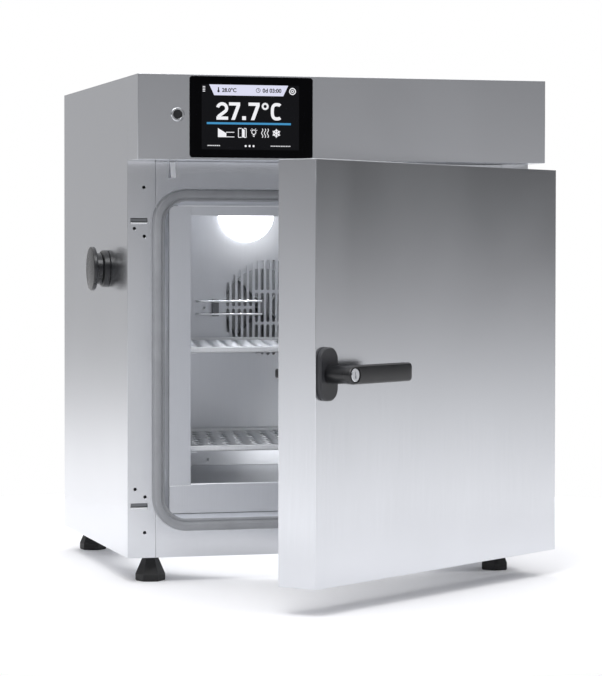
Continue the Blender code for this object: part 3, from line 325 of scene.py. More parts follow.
def ease(node, finish, width, segments=2):
    """A CAD piece with its triangles merged, flats rejoined and every sharp edge rolled over by a bevel."""
    source = NODES[node]
    mesh_data = opened(source.data)
    bmesh.ops.remove_doubles(mesh_data, verts=mesh_data.verts, dist=DOUBLES)
    bmesh.ops.dissolve_limit(mesh_data, angle_limit=FLAT_ANGLE, verts=mesh_data.verts, edges=mesh_data.edges)
    name = f"{node}_eased"
    piece = new_object(name, finish_mesh(name, mesh_data, SMOOTH_DEGREES))
    bevel = piece.modifiers.new("Rolled edges", "BEVEL")
    bevel.width = width
    bevel.segments = segments
    bevel.limit_method = "ANGLE"
    bevel.angle_limit = SHARP_ANGLE
    return enrol(piece, finish, source["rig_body"], (node,))


def paint(finish, *nodes):
    """Gives CAD nodes that stay as they are their finished material."""
    for node in nodes:
        mesh = NODES[node].data
        mesh.materials.clear()
        mesh.materials.append(palette()[finish])


# --- Materials -----------------------------------------------------------------------------

def linear(hex_colour, alpha=1.0):
    """An sRGB hex value as linear red, green, blue and alpha."""
    values = np.array([int(hex_colour[i:i + 2], 16) for i in (1, 3, 5)]) / 255
    values = np.where(values <= 0.04045, values / 12.92, ((values + 0.055) / 1.055) ** 2.4)
    return (*values.tolist(), alpha)


def add_node(tree, kind, inputs=(), **settings):
    """Adds a node with its settings; each input is a value, or the socket that feeds it."""
    node = tree.nodes.new(kind)
    for key, value in settings.items():
        setattr(node, key, value)
    for key, value in dict(inputs).items():
        if isinstance(value, bpy.types.NodeSocket):
            tree.links.new(value, node.inputs[key])
        else:
            node.inputs[key].default_value = value
    return node


def new_material(name, **constants):
    """A Principled material; the constants set its sockets directly."""
    material = bpy.data.materials.new(name)
    material.use_nodes = True
    shader = material.node_tree.nodes["Principled BSDF"]
    for key, value in constants.items():
        shader.inputs[key.replace("_", " ")].default_value = value
    return material, material.node_tree, shader


def object_pattern(tree, kind, scale, inputs, **settings):
    """A texture on Object coordinates, stretched by one factor for each axis (cycles per metre)."""
    place = add_node(tree, "ShaderNodeTexCoord").outputs["Object"]
    mapped = add_node(tree, "ShaderNodeMapping", {"Vector": place, "Scale": scale})
    return add_node(tree, kind, {"Vector": mapped.outputs["Vector"], **inputs}, **settings)


def noise(tree, scale, detail, **shape):
    """A noise on Object coordinates; a single scale counts for all three axes."""
    scales = scale if isinstance(scale, tuple) else (scale,) * 3
    inputs = {"Scale": 1.0, "Detail": detail, **shape}
    return object_pattern(tree, "ShaderNodeTexNoise", scales, inputs).outputs["Fac"]


def spread(tree, value, low, high):
    """Maps a 0.25 to 0.75 noise value to a range."""
    inputs = {"Value": value, "From Min": 0.25, "From Max": 0.75, "To Min": low, "To Max": high}
    return add_node(tree, "ShaderNodeMapRange", inputs).outputs["Result"]


def blend_colours(tree, factor, first, second):
    """Mixes two colours by a factor."""
    mix = add_node(tree, "ShaderNodeMix", {"Factor": factor}, data_type="RGBA")
    for index, colour in ((6, first), (7, second)):
        if isinstance(colour, bpy.types.NodeSocket):
            tree.links.new(colour, mix.inputs[index])
        else:
            mix.inputs[index].default_value = colour
    return mix.outputs[2]


def add_bump(tree, shader, height, strength, distance):
    """Feeds a height to the shader's normal."""
    inputs = {"Height": height, "Strength": strength, "Distance": distance}
    tree.links.new(add_node(tree, "ShaderNodeBump", inputs).outputs["Normal"], shader.inputs["Normal"])


def mottled(name, wave, colours, rough=None, bump=None, socket="Base Color", **constants):
    """A material whose colour, and its roughness if a range is given, drift between two values with one
    noise; the wave is that noise's scale, detail and distortion, and the bump its strength and distance."""
    material, tree, shader = new_material(name, **constants)
    scale, detail, distortion = wave
    drift = noise(tree, scale, detail, Distortion=distortion)
    tree.links.new(blend_colours(tree, drift, *colours), shader.inputs[socket])
    if rough:
        tree.links.new(spread(tree, drift, *rough), shader.inputs["Roughness"])
    if bump:
        add_bump(tree, shader, drift, *bump)
    return material


def brushed_stainless(name, bright, dull, roughness, grain, cloud=0.02):
    """Austenitic stainless sheet, brushed or rolled: a soft blurred gleam drawn out across fine scratches,
    with broad faint clouds where the finish and handling vary. The grain gives scratches per metre on each
    axis: across the lay they are 0.4 mm apart, drawn coarser than the real 0.05 mm so that they show."""
    material, tree, shader = new_material(name, Metallic=1.0)
    scratches = noise(tree, grain, 3.0, Roughness=0.6)
    clouds = noise(tree, (5.0, 5.0, 3.0), 2.0, Distortion=0.6)
    fine = spread(tree, scratches, -0.015, 0.015)
    broad = spread(tree, clouds, roughness - cloud, roughness + cloud)
    total = add_node(tree, "ShaderNodeMath", {0: fine, 1: broad}, operation="ADD", use_clamp=True)
    tree.links.new(total.outputs[0], shader.inputs["Roughness"])
    colour = blend_colours(tree, spread(tree, scratches, 0.1, 0.9), linear(bright), linear(dull))
    tree.links.new(colour, shader.inputs["Base Color"])
    add_bump(tree, shader, scratches, 0.012, 0.05 * MM)
    return material


def moulded(name, colour, lighter, roughness, grain_mm, bump, **constants):
    """Injection-moulded or cast polymer: a spark-eroded grain breaks the highlight into a soft sheen."""
    material, tree, shader = new_material(name, **constants)
    grain = noise(tree, 1 / (grain_mm * MM), 2.0)
    wear = noise(tree, 40.0, 3.0)
    shade = blend_colours(tree, spread(tree, wear, 0.0, 1.0), linear(colour), linear(lighter))
    tree.links.new(shade, shader.inputs["Base Color"])
    tree.links.new(spread(tree, wear, roughness - 0.06, roughness + 0.06), shader.inputs["Roughness"])
    add_bump(tree, shader, grain, bump, 0.05 * MM)
    return material


def polished_steel():
    """Bright-drawn stainless bar and pressings: near mirror, with a faint haze of handling."""
    colours = linear("#dfe1e4"), linear("#c9ccd0")
    return mottled("polished_steel", (300.0, 3.0, 0.0), colours, rough=(0.12, 0.24), Metallic=1.0)


def display_glass():
    """Back-printed black float glass: deep black, a clear sharp reflection and a few faint wipe marks."""
    wave = (30.0, 30.0, 8.0), 4.0, 1.2
    colours = linear("#020203"), linear("#050507")
    return mottled("black_float_glass", wave, colours, rough=(0.06, 0.13), IOR=1.5, Specular_IOR_Level=0.08)


def lit_ink(name, colour, strength):
    """A lit area of the liquid-crystal display: even colour that gives its own light through fine dots."""
    darker = (*(0.94 * value for value in linear(colour)[:3]), 1.0)
    return mottled(
        name, (900.0, 1.0, 0.0), (linear(colour), darker), socket="Emission Color",
        Base_Color=linear("#050506"), Roughness=0.2, Specular_IOR_Level=0.15, Emission_Strength=strength,
    )


def opal_lens(strength):
    """Opal acrylic over a white lamp: flat, almost shadowless white, faintly cooler in places."""
    return mottled(
        "opal_acrylic", (25.0, 1.0, 0.0), (linear("#ffffff"), linear("#eef3ff")), socket="Emission Color",
        Base_Color=linear("#f6f8ff"), Roughness=0.35, Emission_Strength=strength,
    )


def mineral_wool():
    """Mineral wool batt under dark glass fleece: matt grey fibre in tangled strands about 1 mm apart."""
    material, tree, shader = new_material("needled_mineral_wool", Roughness=0.95)
    fibre = noise(tree, (900.0, 900.0, 250.0), 5.0, Distortion=2.0)
    colour = blend_colours(tree, spread(tree, fibre, 0.0, 1.0), linear("#3a3b3c"), linear("#77787a"))
    tree.links.new(colour, shader.inputs["Base Color"])
    add_bump(tree, shader, fibre, 0.6, 0.5 * MM)
    return material


def solder_resist():
    """Glass-epoxy board under green solder resist: glossy green with paler copper areas showing through."""
    material, tree, shader = new_material("green_solder_resist", Coat_Weight=0.4, Roughness=0.4)
    tracks = object_pattern(
        tree, "ShaderNodeTexVoronoi", (160.0,) * 3, {"Scale": 1.0}, feature="F1", distance="CHEBYCHEV"
    ).outputs["Distance"]
    colour = blend_colours(tree, tracks, linear("#1f5c33"), linear("#0f3a22"))
    tree.links.new(colour, shader.inputs["Base Color"])
    return material


def cast_aluminium():
    """Die-cast aluminium: dull silver with a slightly mottled, pebbled skin."""
    return mottled(
        "die_cast_aluminium", (700.0, 3.0, 0.0), (linear("#b9bbbd"), linear("#97999c")),
        rough=(0.42, 0.6), bump=(0.2, 0.1 * MM), Metallic=1.0,
    )


def floor_paint():
    """Plain studio floor in matt white paint with the faintest roller mottle."""
    colours = linear("#fbfbfc"), linear("#f7f7f8")
    return mottled("matt_white_floor", (6.0, 2.0, 0.0), colours, Roughness=0.9)


UPRIGHT_GRAIN = (2500.0, 2500.0, 12.0)
LEVEL_GRAIN = (12.0, 12.0, 2500.0)
TOP_GRAIN = (12.0, 2500.0, 2500.0)
PALETTE = {}


def palette():
    """Makes each finish once and keeps it by name."""
    if PALETTE:
        return PALETTE
    finish = bpy.context.scene.incubator_finish
    sheet = {"bright": "#d8dade", "dull": "#d1d3d7", "roughness": finish.sheet_roughness}
    PALETTE.update(
        case_sheet=brushed_stainless("satin_stainless_upright", grain=UPRIGHT_GRAIN, **sheet),
        header_sheet=brushed_stainless("satin_stainless_level", grain=LEVEL_GRAIN, **sheet),
        top_sheet=brushed_stainless("satin_stainless_top", grain=TOP_GRAIN, **sheet),
        chamber_sheet=brushed_stainless(
            "bright_annealed_stainless", "#dfe1e5", "#d8dade", finish.chamber_roughness, UPRIGHT_GRAIN
        ),
        throat_sheet=brushed_stainless("shadowed_stainless", "#dcdee2", "#d4d6da", 0.42, LEVEL_GRAIN),
        tube=brushed_stainless("ground_stainless_tube", "#f6f7f8", "#edeef0", 0.4, UPRIGHT_GRAIN),
        # Darker steel: the probe clip's colour, and on the flange slots' tongues a painted shade of the
        # slots' hollows.
        spring=brushed_stainless("darker_steel_and_painted_slot_shade", "#898b8e", "#77797c", 0.36, UPRIGHT_GRAIN),
        shelf_sheet=brushed_stainless("pickled_stainless", "#eff0f2", "#e4e6e8", 0.46, UPRIGHT_GRAIN),
        polished=polished_steel(),
        glass=display_glass(),
        seal=moulded("extruded_grey_silicone", "#8b8d91", "#96989c", 0.34, 1.2, 0.1),
        nylon=moulded("glass_filled_black_nylon", "#131416", "#1c1d20", 0.33, 0.6, 0.25),
        plate=moulded("satin_black_nylon", "#292a2d", "#313236", 0.4, 0.6, 0.3),
        rubber=moulded("hard_black_rubber", "#0d0d0e", "#19191b", 0.55, 0.8, 0.3),
        plug=moulded("glossy_black_silicone", "#1c1d1f", "#232427", 0.26, 1.0, 0.08),
        # White nylon: the door switch leaf's own colour, and on the ceiling's white bar a painted highlight.
        natural_nylon=moulded("white_nylon_and_painted_highlight", "#f4f5f7", "#e9ebef", 0.35, 0.6, 0.1),
        wool=mineral_wool(),
        board=solder_resist(),
        aluminium=cast_aluminium(),
        heater=brushed_stainless("heat_tinted_steel", "#8a7f78", "#5b5350", 0.42, UPRIGHT_GRAIN),
        lens=opal_lens(finish.lamp_strength),
        ink_white=lit_ink("display_white", "#f4f4f8", 1.0),
        ink_banner=lit_ink("display_lavender", "#dfe0f5", 1.0),
        ink_blue=lit_ink("display_blue", "#4a9fd4", 0.85),
        ink_dark=lit_ink("display_dark_ink", "#23242e", 0.2),
        ink_field=lit_ink("display_field", "#101116", 0.45),
    )
    return PALETTE


# --- Case ----------------------------------------------------------------------------------

SHEET_EDGE = 0.45 * MM
SLOT_LEVELS = (467.0 * MM, 70.6 * MM)


class INCUBATOR_OT_case(bpy.types.Operator):
    """Makes the folded sheets of the case: sides, top, rear, base, front frame and header"""

    bl_idname = "incubator.case"
    bl_label = "Case Sheets"

    def execute(self, context):
        for node in ("side_panel_left", "side_panel_right", "rear_panel", "front_frame"):
            ease(node, "case_sheet", SHEET_EDGE)
        self.make_slot_louvres()
        ease("top_panel", "top_sheet", SHEET_EDGE)
        ease("base_panel", "top_sheet", SHEET_EDGE)
        ease("header_shell", "header_sheet", 0.6 * MM, 3)
        ease("header_underside", "top_sheet", SHEET_EDGE)
        paint("top_sheet", "bay_divider")
        return {"FINISHED"}

    def make_slot_louvres(self):
        """In each slot of the left side's flange a tongue stands just behind the hole, dark with a painted
        shade of the slot's hollow, and a rolled lip, a round bar along x, closes the slot's lower edge."""
        tongue = np.array([[1.0, 1.3], [1.0, 5.0], [1.4, 5.0], [1.4, 1.3]]) * MM
        lip_behind, lip_under, lip_radius = -0.2 * MM, 1.1 * MM, 1.15 * MM
        ends = DATUM[0] + np.array([4.9, 27.7]) * MM
        lips, tongues = [], []
        for level in SLOT_LEVELS:
            lips.append(level_bar(*ends, DATUM[1] + lip_behind, DATUM[2] + level - lip_under, lip_radius, 8))
            section = tongue + (DATUM[1], DATUM[2] + level)
            tongues.append(loft([on_plane(section, 0, end) for end in ends + (0.1 * MM, -0.1 * MM)]))
        add_piece("flange_slot_lips", joined(*lips), "shelf_sheet", "cabinet")
        # The tongues' dark finish is a painted shade of the slots' hollows.
        add_piece("flange_slot_painted_shade_tongues", joined(*tongues), "spring", "cabinet")


class INCUBATOR_OT_chamber(bpy.types.Operator):
    """Makes the throat trim, the chamber walls, the slotted baffle, the probes and the lamp"""

    bl_idname = "incubator.chamber"
    bl_label = "Chamber"

    def execute(self, context):
        ease("throat_trim", "throat_sheet", 0.3 * MM)
        # The white bar along the ceiling's front edge is a painted highlight of its bend.
        self.make_ceiling_bead()
        for node in ("chamber_wall_left", "chamber_wall_right", "chamber_floor", "chamber_ceiling"):
            ease(node, "chamber_sheet", SHEET_EDGE)
        ease("air_baffle", "chamber_sheet", 0.3 * MM, 1)
        paint("chamber_sheet", "chamber_rear_wall")
        for shelf in ("shelf_upper", "shelf_lower"):
            for side in ("left", "right"):
                ease(f"{shelf}_guide_{side}", "chamber_sheet", 0.3 * MM)
        paint("tube", "control_probe", "safety_probe")
        ease("probe_clip", "spring", 0.6 * MM)
        self.make_lens()
        return {"FINISHED"}

    def make_ceiling_bead(self):
        """A white bar along the joint of the ceiling and the throat, a painted highlight of the bend there: a
        bar along x.
        """
        low, high = node_box("chamber_ceiling")
        trim_low, trim_high = node_box("throat_trim")
        inset, radius = 24 * MM, 1.0 * MM
        y, z = low[1] - 0.1 * MM, high[2] - 1.6 * MM
        bead = level_bar(trim_low[0] + inset, trim_high[0] - inset, y, z, radius, 12)
        add_piece("ceiling_painted_highlight", bead, "natural_nylon", "cabinet")

    def make_lens(self):
        """Half disc with a domed rim: half circles about the top edge's middle, each a little smaller and
        lower than the last, by a quarter ellipse."""
        low, high = node_box("lamp_lens")
        radius = (high[0] - low[0]) / 2
        centre = ((high[0] + low[0]) / 2, high[2])
        depth = high[1] - low[1]
        half = np.linspace(math.pi, 2 * math.pi, 33)
        shrink, drop = 0.12, 0.06 * radius
        loops = []
        for turn in quarter_turn(6):
            domed = 1 - math.cos(turn)
            reach = radius * (1 - shrink * domed)
            x, z = centre[0] + reach * np.cos(half), centre[1] + reach * np.sin(half) - drop * domed
            rim = np.stack([x, z], -1)
            loops.append(on_plane(rim, 1, high[1] - depth * math.sin(turn)))
        add_piece("lamp_lens_domed", loft(loops), "lens", "cabinet", ("lamp_lens",))


# --- Shelves -------------------------------------------------------------------------------

SLOT_COLUMNS = 18
SLOT_ROWS = 6
SLOT_PITCH = 21.0 * MM
ROW_PITCH = 50.0 * MM
SLOT_HALF_WIDTH = 4.6 * MM
SLOT_HALF_LENGTH = 20.5 * MM
SIDE_STEPS = 8


def unit_border(steps_x, steps_y):
    """Points round the square from -1 to 1, equally spaced on each side, counter-clockwise from its lower
    right corner."""
    x, y = np.linspace(-1.0, 1.0, steps_x, endpoint=False), np.linspace(-1.0, 1.0, steps_y, endpoint=False)
    one_x, one_y = np.ones(steps_x), np.ones(steps_y)
    sides = [(one_y, y), (-x, one_x), (-one_y, -y), (x, -one_x)]
    return np.concatenate([np.stack(side, -1) for side in sides])


def slot_edge():
    """A slot with round ends: straight sides, and each end a half circle, in step with the tile's border."""
    straight = SLOT_HALF_LENGTH - SLOT_HALF_WIDTH
    way = np.linspace(-1.0, 1.0, SIDE_STEPS, endpoint=False)
    arc = math.pi / 2 * (way + 1)
    side = np.stack([np.full(SIDE_STEPS, SLOT_HALF_WIDTH), straight * way], -1)
    end = np.stack([SLOT_HALF_WIDTH * np.cos(arc), straight + SLOT_HALF_WIDTH * np.sin(arc)], -1)
    return np.concatenate([side, end, -side, -end])


def slotted_tile(x, y):
    """One slot's share of the sheet: a band between the slot's edge and the tile's border."""
    border = unit_border(SIDE_STEPS, SIDE_STEPS) * (SLOT_PITCH / 2, ROW_PITCH / 2)
    edge = slot_edge()
    loops = np.stack([edge, edge * 0.3 + border * 0.7, border])
    points = np.insert(loops.reshape(-1, 2) + (x, y), 2, 0.0, axis=1)
    return points, grid_faces(3, len(border), wrap_columns=True).tolist()


def plain_tile(x, y):
    """A half tile without a slot, which fills a staggered row's end."""
    across = np.linspace(-SLOT_PITCH / 4, SLOT_PITCH / 4, SIDE_STEPS // 2 + 1)
    along = np.linspace(-ROW_PITCH / 2, ROW_PITCH / 2, SIDE_STEPS + 1)
    a, b = np.meshgrid(across, along, indexing="ij")
    points = np.stack([a.ravel() + x, b.ravel() + y, np.zeros(a.size)], -1)
    return points, grid_faces(len(across), len(along)).tolist()


def shelf_sheet(low, high, lip, bend):
    """The shelf's sheet: staggered slots, a plain rim scaled out to the shelf's edge, and a lip bent down."""
    centre = (low + high) / 2
    parts = []
    for row in range(SLOT_ROWS):
        y = (row - (SLOT_ROWS - 1) / 2) * ROW_PITCH
        staggered = row % 2
        for column in range(SLOT_COLUMNS - staggered):
            parts.append(slotted_tile((column - (SLOT_COLUMNS - staggered - 1) / 2) * SLOT_PITCH, y))
        if staggered:
            end = (SLOT_COLUMNS / 2 - 0.25) * SLOT_PITCH
            parts += [plain_tile(-end, y), plain_tile(end, y)]
    half_field = np.array([SLOT_COLUMNS * SLOT_PITCH, SLOT_ROWS * ROW_PITCH]) / 2
    rim = unit_border(SLOT_COLUMNS * SIDE_STEPS, SLOT_ROWS * SIDE_STEPS)
    half_outer = (high - low)[:2] / 2
    turns = quarter_turn(3)
    levels = [(half_field, 0.0)]
    levels += [(half_outer - bend * (1 - math.sin(t)), -bend * (1 - math.cos(t))) for t in turns]
    levels.append((half_outer, -lip))
    loops = [np.insert(rim * half, 2, drop, axis=1) for half, drop in levels]
    skirt = np.concatenate(loops), grid_faces(len(loops), len(rim), wrap_columns=True).tolist()
    points, faces = joined(*parts, skirt)
    return points + (centre[0], centre[1], high[2]), faces


class INCUBATOR_OT_shelves(bpy.types.Operator):
    """Makes both shelves: slotted stainless sheet with its edges bent down and a rear upstand"""

    bl_idname = "incubator.shelves"
    bl_label = "Shelves"

    def execute(self, context):
        thickness, upstand = 1.5 * MM, 3.5 * MM
        lip, bend = 8.0 * MM, 1.6 * MM
        for shelf in ("shelf_upper", "shelf_lower"):
            low, high = node_box(shelf)
            top = np.array([high[0], high[1], high[2] - upstand])
            sheet = shelf_sheet(low, top, lip, bend)
            piece = add_piece(f"{shelf}_slotted", sheet, "shelf_sheet", shelf, (shelf,))
            solid = piece.modifiers.new("Sheet thickness", "SOLIDIFY")
            solid.thickness = thickness
            solid.offset = -1.0
            solid.use_even_offset = True
            bar_low = (low[0], high[1] - thickness, top[2] - thickness)
            bar = block(bar_low, high, 0.5 * MM)
            add_piece(f"{shelf}_upstand", bar, "shelf_sheet", shelf)
        return {"FINISHED"}


# --- Door seal -----------------------------------------------------------------------------

class INCUBATOR_OT_seal(bpy.types.Operator):
    """Makes the silicone door seal: a wide crown and a thin inner lip carried round a rounded rectangle"""

    bl_idname = "incubator.seal"
    bl_label = "Door Seal"

    def execute(self, context):
        low, high = node_box("door_gasket")
        height = high[1] - low[1]
        corner = 48.0 * MM
        crown = 12.5 * MM
        lip = 4.5 * MM
        rise = np.array([0.0, 0.55, 0.8, 0.93, 1.0, 1.0, 0.93, 0.8, 0.5, 0.38, 0.42, 0.4, 0.25, 0.0])
        inset = np.array([0.0, 0.3, 0.9, 1.8, 3.2, 9.0, 10.6, 11.7, 12.4, 12.9, 14.5, 16.2, 17.0, 17.0]) * MM
        inset *= (crown + lip) / inset[-1]
        loops = []
        for step_in, step_up in zip(inset, rise):
            outline = round_rectangle(
                low[0] + step_in, high[0] - step_in, low[2] + step_in, high[2] - step_in, corner - step_in, 20
            )
            loops.append(on_plane(outline, 1, high[1] - height * step_up))
        seal = loft(loops, wrap=True)
        add_piece("door_seal", seal, "seal", "cabinet", ("door_gasket",), smooth_angle=60)
        return {"FINISHED"}


# --- Door ----------------------------------------------------------------------------------

class INCUBATOR_OT_door(bpy.types.Operator):
    """Makes the door's folded outer pan and its rear panel, and finishes the core"""

    bl_idname = "incubator.door"
    bl_label = "Door"

    def execute(self, context):
        ease("door_skin", "case_sheet", 0.6 * MM, 3)
        ease("door_back_panel", "case_sheet", SHEET_EDGE)
        paint("wool", "door_core")
        return {"FINISHED"}


class INCUBATOR_OT_handle(bpy.types.Operator):
    """Makes the lever, its backing plate, the key cylinder and the release cam"""

    bl_idname = "incubator.handle"
    bl_label = "Handle"

    def execute(self, context):
        self.make_lever()
        ease("handle_plate", "plate", 0.8 * MM)
        ease("release_cam", "nylon", 0.5 * MM)
        ease("lock_cylinder", "polished", 0.25 * MM)
        paint("polished", "handle_spindle")
        return {"FINISHED"}

    def make_lever(self):
        """The bar is rounded rectangles in y and z, stepped along x: its boss end is a half circle and its
        tip draws in by a quarter ellipse. The neck is a lathe shape; the key's recess is cut from both."""
        low, high = shut_box("handle_lever")
        thickness, neck_radius, corner = 12.7 * MM, 11.7 * MM, 3.0 * MM
        thinnest, boss_slim, tip_lower, tip_slim = 1.2 * MM, 1.2 * MM, 4.5 * MM, 1.6 * MM
        half_height = (high[2] - low[2]) / 2
        centre_x = low[0] + half_height
        centre_z = (high[2] + low[2]) / 2
        length = high[0] - centre_x
        tip = 6.0 * MM
        way = np.concatenate([
            -half_height * np.cos(quarter_turn(12))[:-1],
            np.linspace(0.0, length - tip, 14)[:-1],
            length - tip + tip * np.sin(quarter_turn(8)),
        ])
        boss = np.sqrt(np.clip(1 - (np.minimum(way, 0.0) / half_height) ** 2, 0.0, 1.0))
        past = np.clip((way - (length - tip)) / tip, 0.0, 1.0)
        drawn_in = 1 - np.sqrt(np.clip(1 - past ** 2, 0.0, 1.0))
        tall = np.maximum(half_height * boss - tip_lower * drawn_in, thinnest)
        slim = thickness / 2 - tip_slim * drawn_in - boss_slim * (1 - boss)
        loops = []
        for x, half_z, half_y in zip(way, tall, slim):
            edge = min(corner, half_z * 0.9, half_y * 0.9)
            outline = round_rectangle(-half_y, half_y, -half_z, half_z, edge, 5)
            outline = outline + (low[1] + thickness / 2, centre_z)
            loops.append(on_plane(outline, 0, centre_x + x))
        middle = (centre_x, centre_z)
        neck = turned(eased_profile(neck_radius, high[1], low[1] + thickness / 2, 0.8 * MM), 1, middle, 64)
        key_low, key_high = shut_box("lock_cylinder")
        key_radius = (key_high[2] - key_low[2]) / 2
        wide, close = key_radius + 1.5 * MM, key_radius + 0.3 * MM
        recess = [(wide, low[1] - 1.0 * MM), (wide, low[1] + 1.6 * MM)]
        recess += [(close, low[1] + 1.7 * MM), (close, key_high[1] + 0.5 * MM)]
        body = carved(loft(loops), neck, "UNION")
        body = carved(body, turned(recess, 1, middle, 64))
        add_piece("lever_moulded", body, "nylon", "lever", ("handle_lever",), place=to_rest)


# --- Display -------------------------------------------------------------------------------

INK_DEPTH = 0.03 * MM
GLASS_LOW = node_box("display_glass")[0]


def on_glass(outline, raise_by=0.0):
    """A flat outline as a very thin plate on the glass; its points are metres from the glass's lower left."""
    points = np.asarray(outline, float) + (GLASS_LOW[0], GLASS_LOW[2])
    front = GLASS_LOW[1] - raise_by
    return loft([on_plane(points, 1, front), on_plane(points, 1, front - INK_DEPTH)])


def strip(start, end, width):
    """A straight stroke as an outline: its two ends, each moved half a width to either side."""
    start, end = np.asarray(start, float), np.asarray(end, float)
    way = (end - start) / np.linalg.norm(end - start)
    side = np.array([-way[1], way[0]]) * width / 2
    return [start - side, end - side, end + side, start + side]


def ribbon(path, width):
    """A bent stroke as an outline: the path moved half a width along its normal to one side, then back."""
    path = np.asarray(path, float)
    way = np.gradient(path, axis=0)
    way /= np.linalg.norm(way, axis=1, keepdims=True)
    side = np.stack([-way[:, 1], way[:, 0]], -1) * width / 2
    return np.concatenate([path - side, (path + side)[::-1]])


def arc(centre, radii, start, end, squareness=1.0, steps=24):
    """Points of an ellipse between two angles in degrees; a power of cosine and sine below 1 squares it."""
    turns = np.radians(np.linspace(start, end, steps))
    cosine, sine = np.cos(turns), np.sin(turns)
    x = np.sign(cosine) * np.abs(cosine) ** squareness
    z = np.sign(sine) * np.abs(sine) ** squareness
    return np.stack([centre[0] + radii[0] * x, centre[1] + radii[1] * z], -1)


def lettering(words, height, left, bottom, bold):
    """Outline type laid on the banner: the letters' flat mesh, scaled to a height and moved to a corner."""
    curve = bpy.data.curves.new("words", "FONT")
    curve.body = words
    curve.offset = bold
    curve.extrude = 0.01
    curve.resolution_u = 4
    holder = new_object("words", curve)
    bpy.context.view_layer.update()
    points, faces = evaluated_shape(holder)
    bpy.data.objects.remove(holder)
    bpy.data.curves.remove(curve)
    across, up, level = (points - points.min(0)).T
    scale = height / up.max()
    x = across * scale + left + GLASS_LOW[0]
    z = up * scale + bottom + GLASS_LOW[2]
    y = GLASS_LOW[1] - INK_DEPTH * (2 + (level > 0))
    return np.stack([x, y, z], -1), faces


